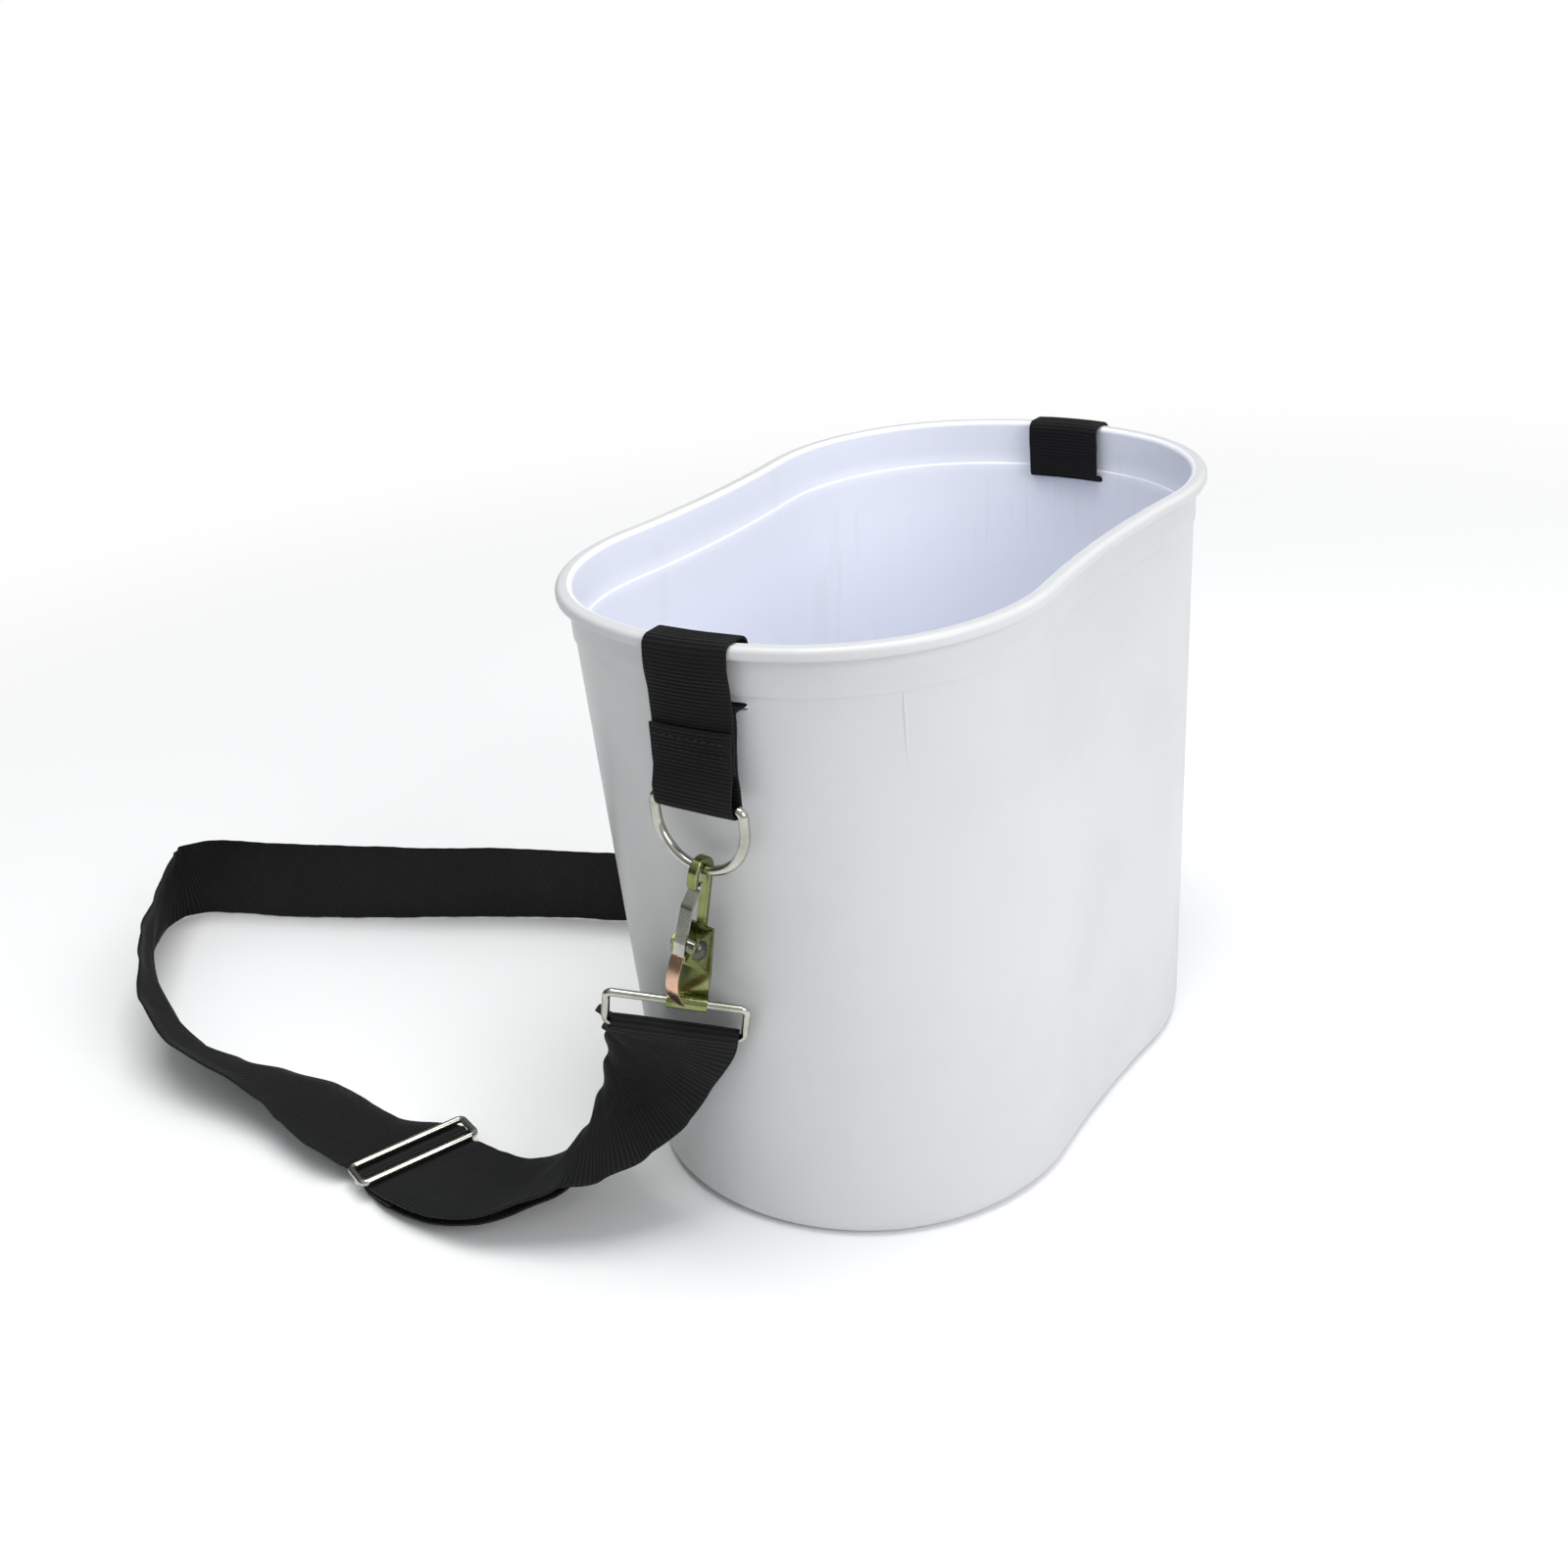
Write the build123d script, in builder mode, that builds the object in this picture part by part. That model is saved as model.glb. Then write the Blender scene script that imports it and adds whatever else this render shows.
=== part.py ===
from build123d import *
import math
import os

os.makedirs("parts", exist_ok=True)

# Bucket, millimetres. The outline is made of an end arc, a corner arc and a hollow waist arc.
bucket_height = 260.0
lip_half_length = 154.4
lip_half_width = 101.4
lip_waist_depth = 3.8
lip_corner_reach = 88.4
lip_corner_radius = 85.0
lip_overhang = 5.4
lip_thickness = 5.0
lip_round = 2.3
lip_inside_round = 1.5
end_draft = 5.8
side_draft = 1.6
base_waist_depth = 2.0
base_corner_reach = 90.9
base_corner_radius = 90.0
wall_thickness = 2.2
floor_thickness = 2.8
collar_depth = 20.0
collar_step = 0.8
bottom_round = 7.0
rib_width = 2.0
rib_depth = 82.0
rib_stand = 0.8
rib_side = 28.4
rib_end = 34.4
rib_turn = -58.0
slot_length = 38.0
slot_height = 3.0
slot_depth = 24.0

base_half_length = lip_half_length - lip_overhang - end_draft
base_half_width = lip_half_width - lip_overhang - side_draft
collar_bottom = bucket_height - collar_depth
rib_bottom = bucket_height - rib_depth
rib_x = lip_half_width - rib_side
rib_y = rib_end - lip_half_length
slot_z = bucket_height - slot_depth

# Loops over the lip
loop_x = 6.5
loop_width = 35.0
loop_thickness = 1.4
loop_lift = 1.0
loop_lip_gap = 1.5
loop_inside_gap = 11.3
loop_layer = 1.7
loop_seam_low_depth = 47.0
loop_seam_high_depth = 31.0

loop_top = bucket_height + loop_lift
loop_outer = lip_half_length + loop_lip_gap
loop_inner = lip_half_length - loop_inside_gap
loop_back = loop_outer - loop_layer
loop_front = loop_outer + loop_layer
loop_seam_low = bucket_height - loop_seam_low_depth
loop_seam_high = bucket_height - loop_seam_high_depth

# Rings
d_ring_wire = 2.0
d_ring_out = 1.1
d_ring_depth = 60.0
d_ring_half = 20.0
d_ring_corner = 2.4
d_ring_leg = 7.3
soft_gap = 0.3
base_ring_wire = 1.6
base_ring_half = 27.1
base_ring_drop = 16.8
base_ring_corner = 2.6
base_ring_shift = 4.0
base_ring_swing = 18.0

d_ring_y = loop_outer + d_ring_out
d_ring_bar_z = bucket_height - d_ring_depth
d_ring_leg_z = d_ring_bar_z - d_ring_leg

# Snap hook
hook_length = 57.0
hook_side_lean = 0.15
hook_out_lean = 0.13
hook_top_x = 4.5
hook_drop = 27.2
eye_turn = 2.0
ring_turn = 30.0
crest_drop = 0.95
crest_inner = 3.3
crest_thickness = 2.6
crest_width = 4.0
tip_z = -6.5
plate_y = 4.1
plate_thickness = 1.4
plate_top_z = -25.0
plate_top_width = 11.2
plate_turn_z = -44.0
plate_turn_width = 13.0
wrap_width = 15.5
wrap_gap = 0.12
wrap_thickness = 1.3
flange_inner = 4.4
flange_thickness = 1.1
rivet_y = -3.5
rivet_z = -31.0
rivet_radius = 1.5
rivet_fit = 0.05
rivet_head = 4.0
rivet_head_height = 2.4
gate_width = 5.0
gate_thickness = 1.2
gate_eye_radius = 2.8
gate_eye_length = 8.4
gate_side = 8.9
leaf_width = 5.4
leaf_thickness = 0.6

hook_top_z = d_ring_bar_z - hook_drop

# Shoulder strap and slider
strap_width = 50.0
strap_thickness = 1.6
strap_half = strap_width / 2
slider_x = -155.0
slider_y = -185.0
slider_turn = 69.0
slider_wire = 1.6
slider_half_length = 27.1
slider_half_width = 7.5
slider_corner = 2.6
slider_z = 9.3
slider_bar_wire = 1.2
slider_bar_z = 4.6
stitch_length = 2.4
stitch_width = 0.5
stitch_height = 0.4
thread_lift = 0.1


def outline(half_length, half_width, waist_depth, reach, corner_radius):
    waist = half_width - waist_depth
    corner_y = half_length - reach
    side = half_width - corner_radius
    end_radius = (side ** 2 + reach ** 2 - corner_radius ** 2) / (2 * (reach - corner_radius))
    hollow = waist - side
    waist_radius = (corner_radius ** 2 - corner_y ** 2 - hollow ** 2) / (2 * (hollow - corner_radius))
    end_y = half_length - end_radius
    end_turn = math.atan2(corner_y - end_y, side)
    waist_turn = math.atan2(-corner_y, waist + waist_radius - side)
    middle_turn = (end_turn + waist_turn) / 2
    first_x = end_radius * math.cos(end_turn)
    first_y = end_y + end_radius * math.sin(end_turn)
    middle_x = side + corner_radius * math.cos(middle_turn)
    middle_y = corner_y + corner_radius * math.sin(middle_turn)
    last_x = side + corner_radius * math.cos(waist_turn)
    last_y = corner_y + corner_radius * math.sin(waist_turn)
    ThreePointArc((-first_x, first_y), (0, half_length), (first_x, first_y))
    ThreePointArc((first_x, first_y), (middle_x, middle_y), (last_x, last_y))
    ThreePointArc((last_x, last_y), (waist, 0), (last_x, -last_y))
    ThreePointArc((last_x, -last_y), (middle_x, -middle_y), (first_x, -first_y))
    ThreePointArc((first_x, -first_y), (0, -half_length), (-first_x, -first_y))
    ThreePointArc((-first_x, -first_y), (-middle_x, -middle_y), (-last_x, -last_y))
    ThreePointArc((-last_x, -last_y), (-waist, 0), (-last_x, last_y))
    ThreePointArc((-last_x, last_y), (-middle_x, middle_y), (-first_x, first_y))


def lip_outline(inset):
    outline(lip_half_length - inset, lip_half_width - inset, lip_waist_depth,
            lip_corner_reach - inset, lip_corner_radius - inset)


def base_outline(inset):
    outline(base_half_length - inset, base_half_width - inset, base_waist_depth,
            base_corner_reach - inset, base_corner_radius - inset)


# The bucket: lower wall, collar, lip, hollow, slots and one rib.
lip_z = bucket_height - lip_thickness
with BuildPart() as bucket:
    with BuildSketch(Plane.XY):
        with BuildLine():
            base_outline(0)
        make_face()
    with BuildSketch(Plane.XY.offset(collar_bottom)):
        with BuildLine():
            lip_outline(lip_overhang)
        make_face()
    loft(ruled=True)
    fillet(bucket.part.edges().group_by(Axis.Z)[0], radius=bottom_round)
    with BuildSketch(Plane.XY.offset(collar_bottom)):
        with BuildLine():
            lip_outline(lip_overhang - collar_step)
        make_face()
    extrude(amount=bucket_height - collar_bottom - lip_thickness / 2)
    with BuildSketch(Plane.XY.offset(lip_z)):
        with BuildLine():
            lip_outline(0)
        make_face()
    extrude(amount=lip_thickness)
    fillet(bucket.part.edges().group_by(Axis.Z)[-1], radius=lip_round)
    with BuildSketch(Plane.XY.offset(floor_thickness)):
        with BuildLine():
            base_outline(wall_thickness)
        make_face()
    with BuildSketch(Plane.XY.offset(collar_bottom)):
        with BuildLine():
            lip_outline(lip_overhang + wall_thickness)
        make_face()
    loft(ruled=True, mode=Mode.SUBTRACT)
    with BuildSketch(Plane.XY.offset(collar_bottom)):
        with BuildLine():
            lip_outline(lip_overhang + wall_thickness - collar_step)
        make_face()
    extrude(amount=bucket_height - collar_bottom, mode=Mode.SUBTRACT)
    inner_rim = bucket.part.faces().sort_by(Axis.Z)[-1].inner_wires()[0].edges()
    fillet(inner_rim, radius=lip_inside_round)
    with BuildSketch(Plane.XZ.offset(0)):
        with Locations((loop_x, slot_z)):
            SlotOverall(slot_length, slot_height)
    extrude(amount=lip_half_length, both=True, mode=Mode.SUBTRACT)
    rib_out = Vector(1, 0, 0).rotate(Axis.Z, rib_turn)
    rib_along = Vector(0, 0, 1).cross(rib_out)
    rib_low = Vector(rib_x, rib_y, rib_bottom) + rib_out * (rib_stand - 1.9)
    rib_high = Vector(rib_x, rib_y, collar_bottom + 1) + rib_out * (rib_stand + 0.4)
    with BuildSketch(Plane(origin=rib_low, x_dir=rib_along, z_dir=(0, 0, 1))):
        Rectangle(rib_width, 2.0)
    with BuildSketch(Plane(origin=rib_high, x_dir=rib_along, z_dir=(0, 0, 1))):
        Rectangle(rib_width, 2.0)
    loft(ruled=True)
bucket.part.label = "bucket_shell"
export_step(bucket.part, "parts/bucket_shell.step")


# The short loops, one strip of webbing each, with three layers at the seam.
half_loop = loop_thickness / 2
bar_wrap = d_ring_wire + soft_gap + half_loop
bar_wrap_bottom = d_ring_bar_z - bar_wrap
loop_points = [
    (loop_outer, loop_seam_low),
    (loop_outer, loop_top),
    (loop_inner, loop_top),
    (loop_inner, slot_z),
    (loop_back, slot_z),
    (loop_back, loop_seam_low),
    (d_ring_y - bar_wrap, d_ring_bar_z + 5),
    (d_ring_y - bar_wrap, bar_wrap_bottom),
    (d_ring_y + bar_wrap, bar_wrap_bottom),
    (d_ring_y + bar_wrap, d_ring_bar_z + 5),
    (loop_front, loop_seam_low),
    (loop_front, loop_seam_high),
]
loop_rounds = [3.5, 3.5, 1.2, 1.2, 4.0, 4.0, bar_wrap - 0.02, bar_wrap - 0.02, 4.0, 4.0]
stitch_rows = [loop_seam_low + 2.5, loop_seam_low + 7.5, loop_seam_low + 12.5]
stitch_count = 9
stitch_pitch = 3.6

for side, end_name in ((-1, "near"), (1, "far")):
    end_plane = Plane(origin=(loop_x, 0, 0), x_dir=(0, side, 0), z_dir=(side, 0, 0))
    with BuildPart() as loop:
        with BuildSketch(end_plane):
            with BuildLine() as loop_line:
                FilletPolyline(*loop_points, radius=loop_rounds)
            trace(line_width=loop_thickness)
        extrude(amount=loop_width / 2, both=True)
    loop.part.label = end_name + "_loop"
    export_step(loop.part, "parts/" + end_name + "_loop.step")

    face_middle = (loop_x, side * (loop_front + half_loop), 0)
    face_plane = Plane(origin=face_middle, x_dir=(-side, 0, 0), z_dir=(0, side, 0))
    with BuildPart() as loop_thread:
        with BuildSketch(face_plane):
            for row_z in stitch_rows:
                with Locations((0, row_z)):
                    with GridLocations(stitch_pitch, 1, stitch_count, 1):
                        Rectangle(stitch_length, stitch_width)
        extrude(amount=stitch_height)
    loop_thread.part.label = end_name + "_loop_stitching"
    export_step(loop_thread.part, "parts/" + end_name + "_loop_stitching.step")


# The D rings, half of the wire swept and mirrored.
for side, end_name in ((-1, "near"), (1, "far")):
    ring_plane = Plane(origin=(loop_x, side * d_ring_y, 0), x_dir=(1, 0, 0), z_dir=(0, -1, 0))
    leg_low = d_ring_leg_z
    with BuildPart() as d_ring:
        with BuildLine(ring_plane) as half_line:
            Line((0, d_ring_bar_z), (d_ring_half - d_ring_corner, d_ring_bar_z))
            RadiusArc((d_ring_half - d_ring_corner, d_ring_bar_z),
                      (d_ring_half, d_ring_bar_z - d_ring_corner), d_ring_corner)
            Line((d_ring_half, d_ring_bar_z - d_ring_corner), (d_ring_half, leg_low))
            RadiusArc((d_ring_half, leg_low), (0, leg_low - d_ring_half), d_ring_half)
        wire_start = (loop_x, side * d_ring_y, d_ring_bar_z)
        with BuildSketch(Plane(origin=wire_start, x_dir=(0, 1, 0), z_dir=(1, 0, 0))):
            Circle(d_ring_wire)
        sweep(path=half_line.wires()[0])
        mirror(about=Plane(origin=(loop_x, 0, 0), x_dir=(0, 1, 0), z_dir=(1, 0, 0)))
    d_ring.part.label = end_name + "_d_ring"
    export_step(d_ring.part, "parts/" + end_name + "_d_ring.step")


def turned(vector, up, degrees):
    # A level direction turned by the angle, then set square to the hook's own upward axis.
    flat = Vector(vector).rotate(Axis.Z, degrees)
    level = flat - up * flat.dot(up)
    return level.normalized()


def hook_frames(side):
    # The upward axis leans the same way for both ends, the sideways axes keep the hooks identical.
    lean_y = -side * hook_out_lean
    up = Vector(hook_side_lean, lean_y, math.sqrt(1 - hook_side_lean ** 2 - lean_y ** 2))
    start = Vector(-side, 0, 0)
    eye_x = turned(start, up, -side * eye_turn)
    ring_x = turned(start, up, -side * ring_turn)
    top = Vector(hook_top_x, side * d_ring_y, hook_top_z)
    eye = Plane(origin=top, x_dir=eye_x, z_dir=up)
    wrap = Plane(origin=top - up * hook_length, x_dir=ring_x, z_dir=up)
    return eye, wrap


def in_frame(frame, plane):
    return Plane(frame.location * plane.location)


# The snap hooks: crest and tip, shank, side flanges, a plate that turns, and the wrap on the ring.
crest_radius = crest_inner + crest_thickness / 2
wrap_inner = base_ring_wire + wrap_gap
wrap_outer = wrap_inner + wrap_thickness
wrap_middle = wrap_inner + wrap_thickness / 2 - 0.05
flange_middle = flange_inner + flange_thickness / 2
gate_points = [
    (-2.3, tip_z + 2.1),
    (-2.3, tip_z - 1.0),
    (-6.6, tip_z - 7.0),
    (-gate_side, rivet_z + 3.0),
    (-gate_side, rivet_z - 4.0),
]
leaf_points = [
    (-5.4, 1.5 - hook_length),
    (-8.6, 5.5 - hook_length),
    (-11.6, 12.0 - hook_length),
    (-gate_side - 2.5, rivet_z - 7.5),
    (-gate_side - 1.0, rivet_z - 2.2),
]

for side, end_name in ((-1, "near"), (1, "far")):
    eye, wrap = hook_frames(side)
    side_view = in_frame(eye, Plane.YZ)
    wrap_view = in_frame(wrap, Plane.YZ)
    with BuildPart() as hook_body:
        with BuildSketch(side_view):
            with BuildLine():
                Line((-crest_radius, tip_z), (-crest_radius, -crest_drop))
                ThreePointArc((-crest_radius, -crest_drop), (0, crest_radius - crest_drop),
                              (crest_radius, -crest_drop))
                Line((crest_radius, -crest_drop), (crest_radius, plate_top_z - 5))
            trace(line_width=crest_thickness)
        extrude(amount=crest_width / 2, both=True)
        fillet(hook_body.part.edges(), radius=0.6)
        with BuildSketch(in_frame(eye, Plane.XZ.offset(-plate_y - plate_thickness / 2))):
            Polygon(
                (-plate_top_width / 2, plate_top_z),
                (plate_top_width / 2, plate_top_z),
                (plate_turn_width / 2, plate_turn_z),
                (-plate_turn_width / 2, plate_turn_z),
                align=None,
            )
        extrude(amount=plate_thickness)
        plate_end = Plane(origin=(0, plate_y, plate_turn_z), x_dir=(1, 0, 0), z_dir=(0, 0, 1))
        with BuildSketch(in_frame(eye, plate_end)):
            Rectangle(plate_turn_width, plate_thickness)
        wrap_start = Plane(origin=(0, wrap_middle, 0.4), x_dir=(1, 0, 0), z_dir=(0, 0, 1))
        with BuildSketch(in_frame(wrap, wrap_start)):
            Rectangle(wrap_width - 0.3, wrap_thickness - 0.5)
        loft(ruled=True)
        with BuildSketch(wrap_view):
            Circle(wrap_outer)
        extrude(amount=wrap_width / 2, both=True)
        for flange_side in (-1, 1):
            with BuildSketch(in_frame(eye, Plane.YZ.offset(flange_side * flange_middle))):
                Polygon(
                    (plate_y, plate_top_z - 0.5),
                    (-3.5, rivet_z + 4.6),
                    (-6.6, rivet_z + 2.6),
                    (-6.6, rivet_z - 2.8),
                    (plate_y, plate_turn_z + 0.5),
                    align=None,
                )
            extrude(amount=flange_thickness / 2, both=True)
        with BuildSketch(wrap_view):
            Circle(wrap_inner)
        extrude(amount=wrap_width, both=True, mode=Mode.SUBTRACT)
        with BuildSketch(side_view):
            with Locations((rivet_y, rivet_z)):
                Circle(rivet_radius + rivet_fit)
        extrude(amount=plate_turn_width, both=True, mode=Mode.SUBTRACT)
    hook_body.part.label = end_name + "_hook_body"
    export_step(hook_body.part, "parts/" + end_name + "_hook_body.step")

    with BuildPart() as gate:
        with BuildSketch(side_view):
            with BuildLine():
                FilletPolyline(*gate_points, radius=[2.0, 4.0, 4.0])
            trace(line_width=gate_thickness)
            with Locations(((rivet_y - gate_side) / 2, rivet_z)):
                Rectangle(gate_side + rivet_y, 2 * gate_thickness)
        extrude(amount=gate_width / 2, both=True)
        with BuildSketch(side_view):
            with Locations((rivet_y, rivet_z)):
                Circle(gate_eye_radius)
        extrude(amount=gate_eye_length / 2, both=True)
        with BuildSketch(side_view):
            with Locations((rivet_y, rivet_z)):
                Circle(rivet_radius + rivet_fit)
        extrude(amount=gate_eye_length, both=True, mode=Mode.SUBTRACT)
    gate.part.label = end_name + "_gate"
    export_step(gate.part, "parts/" + end_name + "_gate.step")

    head_start = flange_inner + flange_thickness + 0.05
    rivet_plane = in_frame(eye, Plane(origin=(0, rivet_y, rivet_z), x_dir=(1, 0, 0), z_dir=(0, 1, 0)))
    rivet_axis = Axis(rivet_plane.origin, rivet_plane.x_dir)
    with BuildPart() as rivet:
        with BuildSketch(rivet_plane):
            with BuildLine():
                Line((-head_start - 0.9, 0), (head_start + rivet_head_height, 0))
                ThreePointArc((head_start + rivet_head_height, 0), (head_start + 1.6, 2.9),
                              (head_start, rivet_head))
                Polyline((head_start, rivet_head), (head_start, rivet_radius), (-head_start, rivet_radius),
                         (-head_start, rivet_radius + 1.1), (-head_start - 0.9, rivet_radius + 0.7),
                         (-head_start - 0.9, 0))
            make_face()
        revolve(axis=rivet_axis)
    rivet.part.label = end_name + "_gate_rivet"
    export_step(rivet.part, "parts/" + end_name + "_gate_rivet.step")

    with BuildPart() as leaf:
        with BuildSketch(side_view):
            with BuildLine():
                Spline(*leaf_points)
            trace(line_width=leaf_thickness)
        extrude(amount=leaf_width / 2, both=True)
    leaf.part.label = end_name + "_leaf_spring"
    export_step(leaf.part, "parts/" + end_name + "_leaf_spring.step")


def base_ring_plane(side):
    # The ring slides off centre in its wrap and its lower bar swings a little towards the wall.
    eye, wrap = hook_frames(side)
    middle = wrap.origin + wrap.x_dir * (base_ring_shift * side)
    swing = math.radians(base_ring_swing)
    down = wrap.y_dir * math.sin(swing) - wrap.z_dir * math.cos(swing)
    return Plane(origin=middle, x_dir=wrap.x_dir, z_dir=wrap.x_dir.cross(-down))


for side, end_name in ((-1, "near"), (1, "far")):
    ring_view = base_ring_plane(side)
    with BuildPart() as base_ring:
        with BuildLine(ring_view) as half_line:
            Line((0, 0), (base_ring_half - base_ring_corner, 0))
            RadiusArc((base_ring_half - base_ring_corner, 0),
                      (base_ring_half, -base_ring_corner), base_ring_corner)
            Line((base_ring_half, -base_ring_corner), (base_ring_half, base_ring_corner - base_ring_drop))
            RadiusArc((base_ring_half, base_ring_corner - base_ring_drop),
                      (base_ring_half - base_ring_corner, -base_ring_drop), base_ring_corner)
            Line((base_ring_half - base_ring_corner, -base_ring_drop), (0, -base_ring_drop))
        with BuildSketch(Plane(origin=ring_view.origin, x_dir=ring_view.y_dir, z_dir=ring_view.x_dir)):
            Circle(base_ring_wire)
        sweep(path=half_line.wires()[0])
        mirror(about=Plane(origin=ring_view.origin, x_dir=ring_view.y_dir, z_dir=ring_view.x_dir))
    base_ring.part.label = end_name + "_base_ring"
    export_step(base_ring.part, "parts/" + end_name + "_base_ring.step")


# The slider, a wire frame and a cranked centre bar.
slider_long = Vector(1, 0, 0).rotate(Axis.Z, slider_turn)
slider_travel = Vector(1, 0, 0).rotate(Axis.Z, slider_turn - 90)
slider_frame_plane = Plane(origin=(slider_x, slider_y, slider_z), x_dir=slider_long, z_dir=(0, 0, 1))
with BuildPart() as slider_frame:
    with BuildLine(slider_frame_plane) as half_line:
        Line((0, slider_half_width), (slider_half_length - slider_corner, slider_half_width))
        RadiusArc((slider_half_length - slider_corner, slider_half_width),
                  (slider_half_length, slider_half_width - slider_corner), slider_corner)
        Line((slider_half_length, slider_half_width - slider_corner),
             (slider_half_length, slider_corner - slider_half_width))
        RadiusArc((slider_half_length, slider_corner - slider_half_width),
                  (slider_half_length - slider_corner, -slider_half_width), slider_corner)
        Line((slider_half_length - slider_corner, -slider_half_width), (0, -slider_half_width))
    bar_start = slider_frame_plane.from_local_coords(Vector(0, slider_half_width, 0))
    with BuildSketch(Plane(origin=bar_start, x_dir=(0, 0, 1), z_dir=slider_long)):
        Circle(slider_wire)
    sweep(path=half_line.wires()[0])
    mirror(about=Plane(origin=(slider_x, slider_y, slider_z), x_dir=(0, 0, 1), z_dir=slider_long))
slider_frame.part.label = "slider_frame"
export_step(slider_frame.part, "parts/slider_frame.step")

bar_top = slider_z - slider_wire - 0.02
bar_front = slider_long.cross(Vector(0, 0, 1))
slider_bar_plane = Plane(origin=(slider_x, slider_y, 0), x_dir=slider_long, z_dir=bar_front)
with BuildPart() as slider_bar:
    with BuildLine(slider_bar_plane) as bar_line:
        FilletPolyline((-slider_half_length, bar_top), (-slider_half_length, slider_bar_z),
                       (slider_half_length, slider_bar_z), (slider_half_length, bar_top), radius=1.4)
    bar_end = slider_bar_plane.from_local_coords(Vector(-slider_half_length, bar_top, 0))
    with BuildSketch(Plane(origin=bar_end, x_dir=slider_long, z_dir=(0, 0, -1))):
        Circle(slider_bar_wire)
    sweep(path=bar_line.wires()[0])
slider_bar.part.label = "slider_bar"
export_step(slider_bar.part, "parts/slider_bar.step")


# The shoulder strap. Every cross section is a middle point, a direction across and a direction along.
def pointing(azimuth, rise):
    level = math.cos(math.radians(rise))
    return Vector(level * math.cos(math.radians(azimuth)), level * math.sin(math.radians(azimuth)),
                  math.sin(math.radians(rise)))


def squared(middle, across, along):
    across = across.normalized()
    along = (along - across * along.dot(across)).normalized()
    return middle, across, along


def smooth(middles, acrosses, first, last, steps):
    # Sections along a cubic curve through the middles, with given directions at both ends.
    count = len(middles)
    slopes = []
    for index in range(count):
        if index == 0:
            slopes.append(first.normalized() * (middles[1] - middles[0]).length)
        elif index == count - 1:
            slopes.append(last.normalized() * (middles[-1] - middles[-2]).length)
        else:
            slopes.append((middles[index + 1] - middles[index - 1]) * 0.5)
    sections = []
    for index in range(count - 1):
        for step in range(steps):
            s = step / steps
            start = middles[index] * (2 * s ** 3 - 3 * s ** 2 + 1) + slopes[index] * (s ** 3 - 2 * s ** 2 + s)
            end = middles[index + 1] * (3 * s ** 2 - 2 * s ** 3) + slopes[index + 1] * (s ** 3 - s ** 2)
            along = middles[index] * (6 * s ** 2 - 6 * s) + slopes[index] * (3 * s ** 2 - 4 * s + 1)
            along = along + middles[index + 1] * (6 * s - 6 * s ** 2)
            along = along + slopes[index + 1] * (3 * s ** 2 - 2 * s)
            turn = s * s * (3 - 2 * s)
            across = acrosses[index] * (1 - turn) + acrosses[index + 1] * turn
            sections.append(squared(start + end, across, along))
    sections.append(squared(middles[-1], acrosses[-1], slopes[-1]))
    return sections


def fold(middle, across, ahead, above, radius, start_angle, end_angle, steps):
    # Sections round a bar. The angle is measured from ahead towards above.
    sections = []
    sign = 1 if end_angle > start_angle else -1
    for step in range(steps + 1):
        angle = math.radians(start_angle + (end_angle - start_angle) * step / steps)
        place = middle + (ahead * math.cos(angle) + above * math.sin(angle)) * radius
        along = (above * math.cos(angle) - ahead * math.sin(angle)) * sign
        sections.append(squared(place, across, along))
    return sections


def beside(sections, gaps, shifts):
    # Another layer that keeps the given distances from these sections, turned to run on with them.
    middles = []
    for section, gap, shift in zip(sections, gaps, shifts):
        middle, across, along = section
        middles.append(middle + along.cross(across) * gap + across * shift)
    acrosses = [section[1] for section in sections]
    return middles, acrosses


half_strap = strap_thickness / 2
ring_fold = base_ring_wire + 1.5 * soft_gap + half_strap
bar_fold = slider_bar_wire + soft_gap + half_strap
fold_turn = 20.0
up_z = Vector(0, 0, 1)

near_ring = base_ring_plane(-1)
far_ring = base_ring_plane(1)
near_eye, near_wrap = hook_frames(-1)
far_eye, far_wrap = hook_frames(1)
near_low = near_ring.from_local_coords(Vector(0, -base_ring_drop, 0))
far_low = far_ring.from_local_coords(Vector(0, -base_ring_drop, 0))
near_ahead = -near_wrap.y_dir
far_ahead = -far_wrap.y_dir
near_across = -near_wrap.x_dir
far_across = far_wrap.x_dir

# The upper layer from the slider to the near ring, fitted by hand to its two edges in the photo.
front_stations = [
    (-136, -191, 9, 80, 0),
    (-117, -192, 10, 91, -2),
    (-98, -190, 13, 99, -7),
    (-81, -184, 20, 105, -11),
    (-67, -177, 31, 114, -6),
    (-54, -170, 43, 128, 11),
    (-43, -164, 57, 147, 25),
    (-32, -162, 73, 173, 34),
    (-22, -164, 88, 198, 27),
]
slider_middle = Vector(slider_x, slider_y, 0)
slider_low_z = slider_bar_z - bar_fold
hump_z = slider_bar_z + bar_fold + strap_thickness + 2 * soft_gap
under_z = slider_z - slider_wire - 0.7 - half_strap

ring_sections = fold(near_low, near_across, near_ahead, near_wrap.z_dir, ring_fold,
                     180 - fold_turn, -fold_turn, 10)
front_start = ring_sections[-1][0]
front_middles = [
    slider_middle + up_z * hump_z,
    slider_middle + slider_travel * slider_half_width + up_z * under_z,
]
front_acrosses = [slider_long, slider_long]
for x, y, z, azimuth, rise in front_stations:
    front_middles.append(Vector(x, y, z))
    front_acrosses.append(pointing(azimuth, rise))
front_middles.append(front_start)
front_acrosses.append(near_across)
front_up = smooth(front_middles, front_acrosses, slider_travel, -ring_sections[-1][2], 2)

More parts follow.
